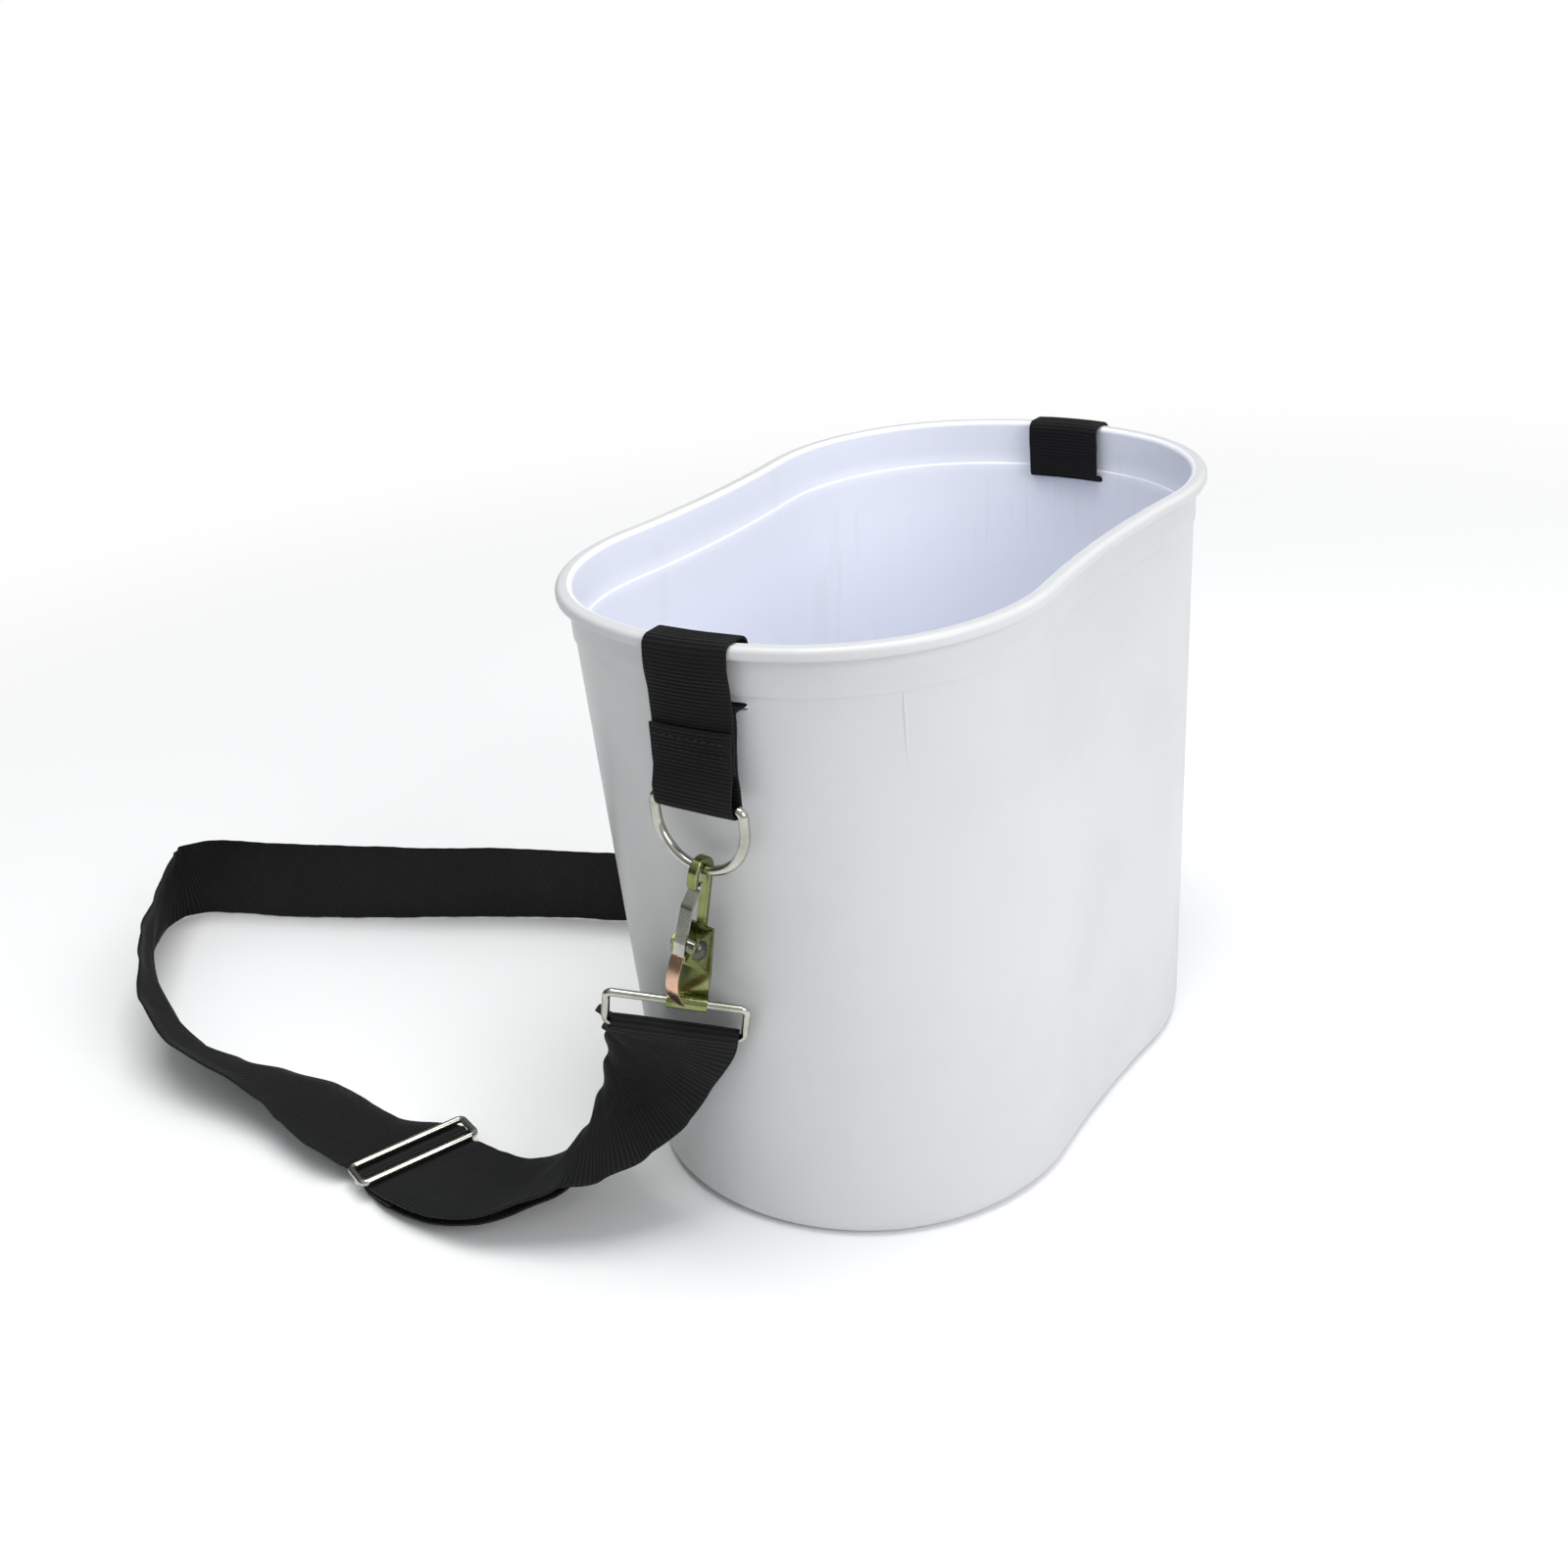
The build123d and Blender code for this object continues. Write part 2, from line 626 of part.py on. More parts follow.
# The lower layer keeps below and behind the upper one, with its inner edge showing past it.
guide = [squared(slider_middle + up_z * hump_z, slider_long, slider_travel)]
for place in range(1, len(front_middles)):
    guide.append(front_up[2 * place])
back_gaps = [slider_low_z - hump_z, slider_low_z - under_z]
back_gaps = back_gaps + [-4.6, -4.4, -4.6, -5.0, -5.4, -5.6, -5.6, -5.4, -5.2]
back_shifts = [0, 0, 0, 1, 3, 6, 9, 12, 13, 10, 5]
back_middles, back_acrosses = beside(guide, back_gaps, back_shifts)
back_middles.append(ring_sections[0][0])
back_acrosses.append(near_across)
back_up = smooth(back_middles, back_acrosses, slider_travel, ring_sections[0][2], 2)

# The sewn end: over the centre bar and back along the lower layer.
bar_sections = fold(slider_middle + up_z * slider_bar_z, slider_long, slider_travel, up_z, bar_fold,
                    65, 270, 9)
tail_middles = []
tail_acrosses = []
for distance, height in ((7.0, 1.75), (14.0, 1.75), (21.0, 1.75)):
    share = distance / (back_up[4][0] - back_up[0][0]).length
    place = share * 4
    lower = int(place)
    rest = place - lower
    middle = back_up[lower][0] * (1 - rest) + back_up[lower + 1][0] * rest
    across = back_up[lower][1] * (1 - rest) + back_up[lower + 1][1] * rest
    along = back_up[lower][2] * (1 - rest) + back_up[lower + 1][2] * rest
    middle, across, along = squared(middle, across, along)
    tail_middles.append(middle + along.cross(across) * height)
    tail_acrosses.append(across)
tail_middles.reverse()
tail_acrosses.reverse()
tail_middles.append(bar_sections[0][0])
tail_acrosses.append(slider_long)
tail_first = tail_middles[1] - tail_middles[0]
tail_end = smooth(tail_middles, tail_acrosses, tail_first, bar_sections[0][2], 1)

# The floor loop. Each station is the inner edge on the floor and the lean of the strap above it.
floor_stations = [
    (-188, -163, 163),
    (-211, -160, 159),
    (-234, -157, 155),
    (-266, -160, 147),
    (-296, -164, 139),
    (-322, -165, 122),
    (-348, -159, 103),
    (-373, -151, 90),
    (-403, -136, 75),
    (-428, -116, 70),
    (-444, -95, 70),
    (-447, -79, 72),
    (-438, -68, 77),
    (-418, -60, 84),
    (-390, -51, 84),
    (-360, -38, 82),
    (-330, -24, 80),
    (-300, -9, 77),
    (-268, 6, 77),
    (-236, 20, 75),
    (-208, 30, 75),
]
far_stations = [
    (-178, 42, 25, 100, -55),
    (-152, 66, 24, 115, -35),
    (-130, 98, 25, 130, -18),
    (-110, 134, 31, 134, 0),
    (-86, 162, 43, 132, 18),
    (-61, 176, 60, 136, 30),
    (-38, 174, 80, 146, 30),
]
floor_edge = [Vector(x, y, 0) for x, y, lean in floor_stations]
far_start = Vector(far_stations[0][0], far_stations[0][1], 0)
floor_middles = [slider_middle - slider_travel * slider_half_width + up_z * under_z]
floor_acrosses = [slider_long]
for index, station in enumerate(floor_stations):
    before = floor_edge[index - 1] if index > 0 else slider_middle + slider_long * strap_half
    after = floor_edge[index + 1] if index + 1 < len(floor_edge) else far_start
    run = (after - before).normalized()
    inward = Vector(run.Y, -run.X, 0)
    lean = math.radians(station[2])
    across = inward * (-math.cos(lean)) - up_z * math.sin(lean)
    floor_acrosses.append(across)
    floor_middles.append(floor_edge[index] + up_z * 1.0 - across * strap_half)
for x, y, z, azimuth, rise in far_stations:
    floor_middles.append(Vector(x, y, z))
    floor_acrosses.append(pointing(azimuth, rise))
far_sections = fold(far_low, far_across, far_ahead, far_wrap.z_dir, ring_fold,
                    -fold_turn, 180 - fold_turn, 10)
floor_middles.append(far_sections[0][0])
floor_acrosses.append(far_across)
hump = squared(slider_middle + up_z * hump_z, slider_long, -slider_travel)
floor_middles.insert(0, hump[0])
floor_acrosses.insert(0, hump[1])
floor_run = smooth(floor_middles, floor_acrosses, -slider_travel, far_sections[0][2], 2)

# The tail sewn below the far ring, on the wall side of the arriving layer.
far_tail_middles = [far_sections[-1][0]]
far_tail_acrosses = [far_sections[-1][1]]
far_guide = [floor_run[-2], floor_run[-3], floor_run[-4]]
tail_side = (far_sections[-1][0] - far_sections[0][0]).dot(floor_run[-1][2].cross(floor_run[-1][1]))
tail_sign = 1 if tail_side > 0 else -1
for section in far_guide:
    middle, across, along = section
    far_tail_middles.append(middle + along.cross(across) * (2.0 * tail_sign))
    far_tail_acrosses.append(across)
far_last = far_tail_middles[-1] - far_tail_middles[-2]
far_tail = smooth(far_tail_middles, far_tail_acrosses, far_sections[-1][2], far_last, 2)


def turned_back(sections):
    return [(middle, across, -along) for middle, across, along in reversed(sections)]


bar_up = turned_back(bar_sections)
route = tail_end + bar_sections[1:] + back_up[1:] + ring_sections[1:]
route = route + turned_back(front_up)[1:] + floor_run[1:] + far_sections[1:] + far_tail[1:]

with BuildPart() as shoulder_strap:
    for middle, across, along in route:
        with BuildSketch(Plane(origin=middle, x_dir=across, z_dir=along)):
            Rectangle(strap_width, strap_thickness)
    loft(ruled=True)
shoulder_strap.part.label = "shoulder_strap"
export_step(shoulder_strap.part, "parts/shoulder_strap.step")


slider_rows = []
for section in (tail_end[1], tail_end[2]):
    middle, across, along = section
    out = across.cross(along)
    slider_rows.append(Plane(origin=middle + out * (half_strap + thread_lift), x_dir=across, z_dir=out))
with BuildPart() as slider_thread:
    for row_plane in slider_rows:
        with BuildSketch(row_plane):
            with GridLocations(4.2, 1, 11, 1):
                Rectangle(stitch_length, stitch_width)
        extrude(amount=stitch_height)
slider_thread.part.label = "strap_slider_stitching"
export_step(slider_thread.part, "parts/strap_slider_stitching.step")

far_rows = []
for section in (far_tail[-2], far_tail[-3], far_tail[-4]):
    middle, across, along = section
    out = far_wrap.y_dir - along * far_wrap.y_dir.dot(along) - across * far_wrap.y_dir.dot(across)
    out = out.normalized()
    far_rows.append(Plane(origin=middle + out * (half_strap + thread_lift), x_dir=across, z_dir=out))
with BuildPart() as far_thread:
    for row_plane in far_rows:
        with BuildSketch(row_plane):
            with GridLocations(4.2, 1, 11, 1):
                Rectangle(stitch_length, stitch_width)
        extrude(amount=stitch_height)
far_thread.part.label = "strap_far_stitching"
export_step(far_thread.part, "parts/strap_far_stitching.step")
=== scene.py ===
import bpy
import math
import random
import numpy as np
from mathutils import Matrix, Vector


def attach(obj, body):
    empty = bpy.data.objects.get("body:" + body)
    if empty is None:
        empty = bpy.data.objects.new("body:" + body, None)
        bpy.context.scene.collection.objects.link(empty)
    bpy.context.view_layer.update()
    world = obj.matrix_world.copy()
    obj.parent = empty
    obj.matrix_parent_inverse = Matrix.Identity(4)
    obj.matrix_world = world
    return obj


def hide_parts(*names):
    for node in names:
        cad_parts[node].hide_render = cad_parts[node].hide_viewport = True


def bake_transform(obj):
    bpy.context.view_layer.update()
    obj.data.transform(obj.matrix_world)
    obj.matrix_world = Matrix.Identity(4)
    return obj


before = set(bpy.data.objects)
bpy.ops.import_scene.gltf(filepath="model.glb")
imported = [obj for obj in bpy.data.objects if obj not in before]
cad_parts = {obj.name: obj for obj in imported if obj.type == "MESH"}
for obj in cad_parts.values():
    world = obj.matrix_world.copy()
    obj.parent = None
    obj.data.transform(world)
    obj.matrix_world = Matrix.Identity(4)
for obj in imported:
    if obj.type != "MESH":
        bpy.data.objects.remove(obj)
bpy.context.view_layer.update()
mm = 0.001
bucketBody = "bucket"
random.seed(7)

# Camera of the photograph, from the bucket's own edges
cameraSetup = {
    "place": (0.3738, -0.60353, 0.47493),
    "right": (0.8263, 0.5564, -0.0873),
    "down": (0.1727, -0.3978, -0.9010),
    "forward": (-0.5360, 0.7295, -0.4249),
    "lens": 40.92,
    "sensor": 36.0,
}


def makeCamera(setup):
    right = Vector(setup["right"]).normalized()
    back = -Vector(setup["forward"]).normalized()
    up = back.cross(right).normalized()
    bpy.ops.object.camera_add(location=setup["place"])
    camera = bpy.context.object
    camera.name = "photoCamera"
    camera.data.lens = setup["lens"]
    camera.data.sensor_width = setup["sensor"]
    camera.rotation_mode = "QUATERNION"
    camera.rotation_quaternion = Matrix((right, up, back)).transposed().to_quaternion()
    camera.data.clip_start = 0.02
    bpy.context.scene.camera = camera


def deselect():
    if bpy.context.object and bpy.context.object.mode != "OBJECT":
        bpy.ops.object.mode_set(mode="OBJECT")
    bpy.ops.object.select_all(action="DESELECT")


def pick(obj):
    deselect()
    obj.select_set(True)
    bpy.context.view_layer.objects.active = obj


def applyModifiers(obj):
    pick(obj)
    for modifier in list(obj.modifiers):
        bpy.ops.object.modifier_apply(modifier=modifier.name)


def applyPlace(obj):
    pick(obj)
    bpy.ops.object.transform_apply(location=True, rotation=True, scale=True)


def joinPieces(pieces, name):
    deselect()
    for piece in pieces:
        piece.select_set(True)
    bpy.context.view_layer.objects.active = pieces[0]
    bpy.ops.object.join()
    pieces[0].name = name
    return pieces[0]


# Shader groups that several finishes share
def startGroup(name, inputs, outputs):
    tree = bpy.data.node_groups.new(name, "ShaderNodeTree")
    for label, kind, value in inputs:
        socket = tree.interface.new_socket(name=label, in_out="INPUT", socket_type=kind)
        if value is not None:
            socket.default_value = value
    for label, kind in outputs:
        tree.interface.new_socket(name=label, in_out="OUTPUT", socket_type=kind)
    return tree, tree.nodes.new("NodeGroupInput"), tree.nodes.new("NodeGroupOutput")


def mathNode(tree, operation, first, second=None, third=None):
    node = tree.nodes.new("ShaderNodeMath")
    node.operation = operation
    for index, value in enumerate((first, second, third)):
        if value is None:
            continue
        if isinstance(value, (int, float)):
            node.inputs[index].default_value = value
        else:
            tree.links.new(value, node.inputs[index])
    return node.outputs[0]


def noiseNode(tree, vector, scale, detail, roughness):
    node = tree.nodes.new("ShaderNodeTexNoise")
    node.inputs["Detail"].default_value = detail
    node.inputs["Roughness"].default_value = roughness
    tree.links.new(vector, node.inputs["Vector"])
    if isinstance(scale, (int, float)):
        node.inputs["Scale"].default_value = scale
    else:
        tree.links.new(scale, node.inputs["Scale"])
    return node.outputs[0]


def rampNode(tree, value, low, high, lowOut=0.0, highOut=1.0):
    node = tree.nodes.new("ShaderNodeMapRange")
    node.interpolation_type = "SMOOTHSTEP"
    tree.links.new(value, node.inputs["Value"])
    node.inputs["From Min"].default_value = low
    node.inputs["From Max"].default_value = high
    node.inputs["To Min"].default_value = lowOut
    node.inputs["To Max"].default_value = highOut
    return node.outputs[0]


def mixColour(tree, factor, first, second):
    node = tree.nodes.new("ShaderNodeMix")
    node.data_type = "RGBA"
    tree.links.new(factor, node.inputs[0])
    for value, socket in ((first, node.inputs[6]), (second, node.inputs[7])):
        if isinstance(value, (tuple, list)):
            socket.default_value = (*value, 1.0)
        else:
            tree.links.new(value, socket)
    return node.outputs[2]


def makeWearGroup():
    # Blotch is slow variation, Scratch thin marks, Grain a fine height
    tree, into, out = startGroup(
        "surfaceWear",
        [("Vector", "NodeSocketVector", None), ("Scale", "NodeSocketFloat", 60.0)],
        [("Blotch", "NodeSocketFloat"), ("Scratch", "NodeSocketFloat"), ("Grain", "NodeSocketFloat")],
    )
    vector = into.outputs["Vector"]
    scale = into.outputs["Scale"]
    blotch = noiseNode(tree, vector, scale, 4.0, 0.6)
    stretch = tree.nodes.new("ShaderNodeMapping")
    stretch.inputs["Scale"].default_value = (9.0, 1.0, 0.6)
    stretch.inputs["Rotation"].default_value = (0.4, 0.3, 0.7)
    tree.links.new(vector, stretch.inputs["Vector"])
    marks = noiseNode(tree, stretch.outputs[0], mathNode(tree, "MULTIPLY", scale, 3.0), 2.0, 0.5)
    scratch = rampNode(tree, marks, 0.62, 0.72)
    grain = noiseNode(tree, vector, mathNode(tree, "MULTIPLY", scale, 14.0), 3.0, 0.55)
    tree.links.new(rampNode(tree, blotch, 0.35, 0.68), out.inputs["Blotch"])
    tree.links.new(scratch, out.inputs["Scratch"])
    tree.links.new(grain, out.inputs["Grain"])
    return tree


def makeWeaveGroup():
    # Crosswise ribs with warp yarns that pass over every other one, on a map in metres
    tree, into, out = startGroup(
        "ribbedWeave",
        [("Vector", "NodeSocketVector", None), ("Rib", "NodeSocketFloat", 0.0018),
         ("Yarn", "NodeSocketFloat", 0.0011)],
        [("Height", "NodeSocketFloat"), ("Crest", "NodeSocketFloat")],
    )
    split = tree.nodes.new("ShaderNodeSeparateXYZ")
    tree.links.new(into.outputs["Vector"], split.inputs[0])
    ribs = mathNode(tree, "DIVIDE", split.outputs[1], into.outputs["Rib"])
    crest = mathNode(tree, "MULTIPLY_ADD", mathNode(tree, "COSINE", mathNode(tree, "MULTIPLY", ribs, math.tau)),
                     0.5, 0.5)
    row = mathNode(tree, "FLOOR", mathNode(tree, "ADD", ribs, 0.5))
    shift = mathNode(tree, "MULTIPLY", row, 0.5)
    yarns = mathNode(tree, "ADD", mathNode(tree, "DIVIDE", split.outputs[0], into.outputs["Yarn"]), shift)
    wave = mathNode(tree, "ABSOLUTE", mathNode(tree, "SINE", mathNode(tree, "MULTIPLY", yarns, math.pi)))
    height = mathNode(tree, "MULTIPLY_ADD", mathNode(tree, "MULTIPLY", wave, crest), 0.6,
                      mathNode(tree, "MULTIPLY", crest, 0.4))
    tree.links.new(height, out.inputs["Height"])
    tree.links.new(crest, out.inputs["Crest"])
    return tree


wearGroup = makeWearGroup()
weaveGroup = makeWeaveGroup()


def startMaterial(name, roughness, metallic=0.0):
    material = bpy.data.materials.new(name)
    material.use_nodes = True
    tree = material.node_tree
    shader = next(node for node in tree.nodes if node.type == "BSDF_PRINCIPLED")
    shader.inputs["Roughness"].default_value = roughness
    shader.inputs["Metallic"].default_value = metallic
    coordinates = tree.nodes.new("ShaderNodeTexCoord")
    return material, tree, shader, coordinates


def placeGroup(tree, group, vector, **values):
    node = tree.nodes.new("ShaderNodeGroup")
    node.node_tree = group
    tree.links.new(vector, node.inputs["Vector"])
    for label, value in values.items():
        node.inputs[label].default_value = value
    return node


def addBump(tree, shader, height, strength, distance):
    bump = tree.nodes.new("ShaderNodeBump")
    bump.inputs["Strength"].default_value = strength
    bump.inputs["Distance"].default_value = distance
    tree.links.new(height, bump.inputs["Height"])
    tree.links.new(bump.outputs[0], shader.inputs["Normal"])


# Outside tones are painted shade: the white plastic is darkened there. The inside tone is painted light: brighter
# and tinted blue, as if lit by the sky.
plasticLook = {
    "shadedOutside": (0.62, 0.625, 0.63),
    "shadedOutsideBlotch": (0.60, 0.605, 0.61),
    "inside": (0.83, 0.85, 0.93),
    "scuff": (0.62, 0.62, 0.60),
    "roughness": (0.30, 0.46),
    "grainDistance": 0.00012,
}


def makePlastic(look):
    material, tree, shader, coordinates = startMaterial("whitePlastic", 0.36)
    place = coordinates.outputs["Object"]
    wear = placeGroup(tree, wearGroup, place, Scale=11.0)
    geometry = tree.nodes.new("ShaderNodeNewGeometry")
    flat = tree.nodes.new("ShaderNodeVectorMath")
    flat.operation = "MULTIPLY"
    flat.inputs[1].default_value = (1.0, 1.0, 0.0)
    tree.links.new(place, flat.inputs[0])
    facing = tree.nodes.new("ShaderNodeVectorMath")
    facing.operation = "DOT_PRODUCT"
    tree.links.new(geometry.outputs["Normal"], facing.inputs[0])
    tree.links.new(flat.outputs[0], facing.inputs[1])
    inward = rampNode(tree, facing.outputs["Value"], -0.03, -0.002, 1.0, 0.0)
    split = tree.nodes.new("ShaderNodeSeparateXYZ")
    tree.links.new(place, split.inputs[0])
    floorMask = rampNode(tree, split.outputs[2], 0.0029, 0.0031, 1.0, 0.0)
    raised = rampNode(tree, split.outputs[2], 0.0015, 0.0026)
    # Inner faces take the painted sky-lit inside colour. Outer faces take the painted shaded tones, mixed in random
    # blotches.
    inside = mathNode(tree, "MAXIMUM", inward, mathNode(tree, "MULTIPLY", floorMask, raised))
    outer = mixColour(tree, wear.outputs["Blotch"], look["shadedOutside"], look["shadedOutsideBlotch"])
    base = mixColour(tree, inside, outer, look["inside"])
    marks = mathNode(tree, "MULTIPLY", wear.outputs["Scratch"], 0.10)
    tree.links.new(mixColour(tree, marks, base, look["scuff"]), shader.inputs["Base Color"])
    low, high = look["roughness"]
    tree.links.new(rampNode(tree, wear.outputs["Blotch"], 0.0, 1.0, low, high), shader.inputs["Roughness"])
    addBump(tree, shader, wear.outputs["Grain"], 0.35, look["grainDistance"])
    shader.inputs["Specular IOR Level"].default_value = 0.45
    return material


def makeWebbing(name, dark, light, rib, yarn):
    material, tree, shader, coordinates = startMaterial(name, 0.7)
    place = coordinates.outputs["UV"]
    weave = placeGroup(tree, weaveGroup, place, Rib=rib, Yarn=yarn)
    wear = placeGroup(tree, wearGroup, coordinates.outputs["Object"], Scale=30.0)
    # Painted highlight: the rib crests get the lighter tone, as if catching the light, varied by random blotches.
    paintedCrestHighlight = mathNode(tree, "MULTIPLY", weave.outputs["Crest"],
                    mathNode(tree, "MULTIPLY_ADD", wear.outputs["Blotch"], 0.6, 0.4))
    tree.links.new(mixColour(tree, paintedCrestHighlight, dark, light), shader.inputs["Base Color"])
    tree.links.new(rampNode(tree, weave.outputs["Height"], 0.0, 1.0, 0.82, 0.6), shader.inputs["Roughness"])
    addBump(tree, shader, weave.outputs["Height"], 0.7, 0.00025)
    shader.inputs["Sheen Weight"].default_value = 0.04
    shader.inputs["Sheen Roughness"].default_value = 0.4
    shader.inputs["Specular IOR Level"].default_value = 0.22
    return material


def makeMetal(name, bright, dull, roughness, scale=90.0, markStrength=0.35):
    material, tree, shader, coordinates = startMaterial(name, roughness[0], 1.0)
    wear = placeGroup(tree, wearGroup, coordinates.outputs["Object"], Scale=scale)
    patches = mathNode(tree, "MULTIPLY_ADD", wear.outputs["Scratch"], 0.35,
                       mathNode(tree, "MULTIPLY", wear.outputs["Blotch"], 0.65))
    tree.links.new(mixColour(tree, patches, bright, dull), shader.inputs["Base Color"])
    tree.links.new(rampNode(tree, patches, 0.0, 1.0, *roughness), shader.inputs["Roughness"])
    addBump(tree, shader, wear.outputs["Grain"], markStrength, 0.00006)
    return material


webbingLook = {"width": 50 * mm, "thickness": 1.6 * mm, "rib": 1.8 * mm, "yarn": 1.2 * mm}
plastic = makePlastic(plasticLook)
# The second, lighter tone of each webbing and thread is the painted highlight on the rib crests.
webbing = makeWebbing("blackWebbing", (0.003, 0.0032, 0.0035), (0.010, 0.0105, 0.0115),
                      webbingLook["rib"], webbingLook["yarn"])
loopWebbing = makeWebbing("blackLoopWebbing", (0.002, 0.0021, 0.0026), (0.006, 0.006, 0.007), 1.5 * mm, 1.1 * mm)
threadBlack = makeWebbing("blackThread", (0.008, 0.008, 0.009), (0.03, 0.03, 0.032), 0.35 * mm, 0.8 * mm)
# The olive tint of both nickel tones is painted reflection of green surroundings. The darker tone lies in random
# patches.
nickel = makeMetal("nickelWire", (0.52, 0.52, 0.46), (0.27, 0.28, 0.22), (0.14, 0.32))
# The hook plate's olive-green tones are painted reflection of green surroundings. The darker tone lies in random
# patches.
hookNickel = makeMetal("paintedGreenReflectionPlate", (0.26, 0.28, 0.12), (0.13, 0.155, 0.045), (0.20, 0.36))
copper = makeMetal("copperLeaf", (0.72, 0.46, 0.34), (0.50, 0.30, 0.20), (0.22, 0.4))
darkSteel = makeMetal("darkRivet", (0.10, 0.10, 0.09), (0.05, 0.05, 0.045), (0.25, 0.45))
print("materials made")


# Frames of the hooks and base rings, the same sizes as the CAD pieces
hookSetup = {
    "topX": 4.5, "topY": 157.0, "topZ": 172.8, "length": 57.0,
    "sideLean": 0.15, "outLean": 0.13, "ringTurn": 30.0, "ringShift": 4.0,
    "ringSwing": 18.0, "ringDrop": 16.8, "ringWire": 1.6,
}
upZ = Vector((0, 0, 1))


def rotatedFlat(vector, degrees):
    angle = math.radians(degrees)
    return Vector((vector.x * math.cos(angle) - vector.y * math.sin(angle),
                   vector.x * math.sin(angle) + vector.y * math.cos(angle), vector.z))


def wrapFrame(side):
    setup = hookSetup
    leanY = -side * setup["outLean"]
    up = Vector((setup["sideLean"], leanY, math.sqrt(1 - setup["sideLean"] ** 2 - leanY ** 2)))
    flat = rotatedFlat(Vector((-side, 0, 0)), -side * setup["ringTurn"])
    across = (flat - up * flat.dot(up)).normalized()
    top = Vector((setup["topX"], side * setup["topY"], setup["topZ"]))
    return top - up * setup["length"], across, up.cross(across), up


def ringLow(side):
    origin, across, out, up = wrapFrame(side)
    swing = math.radians(hookSetup["ringSwing"])
    down = out * math.sin(swing) - up * math.cos(swing)
    return origin + across * (hookSetup["ringShift"] * side) + down * hookSetup["ringDrop"]


# Strap sections, each a middle point, a direction across and a direction along, in millimetres
def pointing(azimuth, rise):
    level = math.cos(math.radians(rise))
    return Vector((level * math.cos(math.radians(azimuth)), level * math.sin(math.radians(azimuth)),
                   math.sin(math.radians(rise))))


def squared(middle, across, along):
    across = across.normalized()
    along = (along - across * along.dot(across)).normalized()
    return middle, across, along


def smoothRun(middles, acrosses, first, last, steps):
    slopes = []
    for index in range(len(middles)):
        if index == 0:
            slopes.append(first.normalized() * (middles[1] - middles[0]).length)
        elif index == len(middles) - 1:
            slopes.append(last.normalized() * (middles[-1] - middles[-2]).length)
        else:
            slopes.append((middles[index + 1] - middles[index - 1]) * 0.5)
    sections = []
    for index in range(len(middles) - 1):
        for step in range(steps):
            s = step / steps
            place = middles[index] * (2 * s ** 3 - 3 * s ** 2 + 1) + slopes[index] * (s ** 3 - 2 * s ** 2 + s)
            place = place + middles[index + 1] * (3 * s ** 2 - 2 * s ** 3) + slopes[index + 1] * (s ** 3 - s ** 2)
            along = middles[index] * (6 * s ** 2 - 6 * s) + slopes[index] * (3 * s ** 2 - 4 * s + 1)
            along = along + middles[index + 1] * (6 * s - 6 * s ** 2) + slopes[index + 1] * (3 * s ** 2 - 2 * s)
            turn = s * s * (3 - 2 * s)
            sections.append(squared(place, acrosses[index] * (1 - turn) + acrosses[index + 1] * turn, along))
    sections.append(squared(middles[-1], acrosses[-1], slopes[-1]))
    return sections


def foldRound(middle, across, ahead, above, radius, startAngle, endAngle, steps):
    sections = []
    sign = 1 if endAngle > startAngle else -1
    for step in range(steps + 1):
        angle = math.radians(startAngle + (endAngle - startAngle) * step / steps)
        place = middle + (ahead * math.cos(angle) + above * math.sin(angle)) * radius
        sections.append(squared(place, across, (above * math.cos(angle) - ahead * math.sin(angle)) * sign))
    return sections


def turnedBack(sections):
    return [(middle, across, -along) for middle, across, along in reversed(sections)]


strapSetup = {
    "sliderX": -155.0, "sliderY": -185.0, "sliderTurn": 69.0, "sliderHalf": 7.5, "sliderZ": 9.3,
    "sliderWire": 1.6, "barWire": 1.2, "barZ": 4.6, "gap": 0.3, "half": 0.8, "halfWidth": 25.0,
    "foldTurn": 20.0, "underGap": 0.7, "steps": 14,
}
frontStations = [
    (-136, -191, 9, 80, 0),
    (-117, -192, 10, 91, -2),
    (-98, -190, 13, 99, -7),
    (-81, -184, 20, 105, -11),
    (-67, -177, 31, 114, -6),
    (-54, -170, 43, 128, 11),
    (-43, -164, 57, 147, 25),
    (-32, -162, 73, 173, 34),
    (-22, -164, 88, 198, 27),
]
floorStations = [
    (-188, -163, 163), (-211, -160, 159), (-234, -157, 155), (-266, -160, 147), (-296, -164, 139),
    (-322, -165, 122), (-348, -159, 103), (-373, -151, 90), (-403, -136, 75), (-428, -116, 70),
    (-444, -95, 70), (-447, -79, 72), (-438, -68, 77), (-418, -60, 84), (-390, -51, 84),
    (-360, -38, 82), (-330, -24, 80), (-300, -9, 77), (-268, 6, 77), (-236, 20, 75), (-208, 30, 75),
]
farStations = [
    (-178, 42, 25, 100, -55),
    (-152, 66, 24, 115, -35),
    (-130, 98, 25, 130, -18),
    (-110, 134, 31, 134, 0),
    (-86, 162, 43, 132, 18),
    (-61, 176, 60, 136, 30),
    (-38, 174, 80, 146, 30),
]
backGaps = [-4.6, -4.4, -4.6, -5.0, -5.4, -5.6, -5.6, -5.4, -5.2]
backShifts = [0, 0, 0, 1, 3, 6, 9, 12, 13, 10, 5]


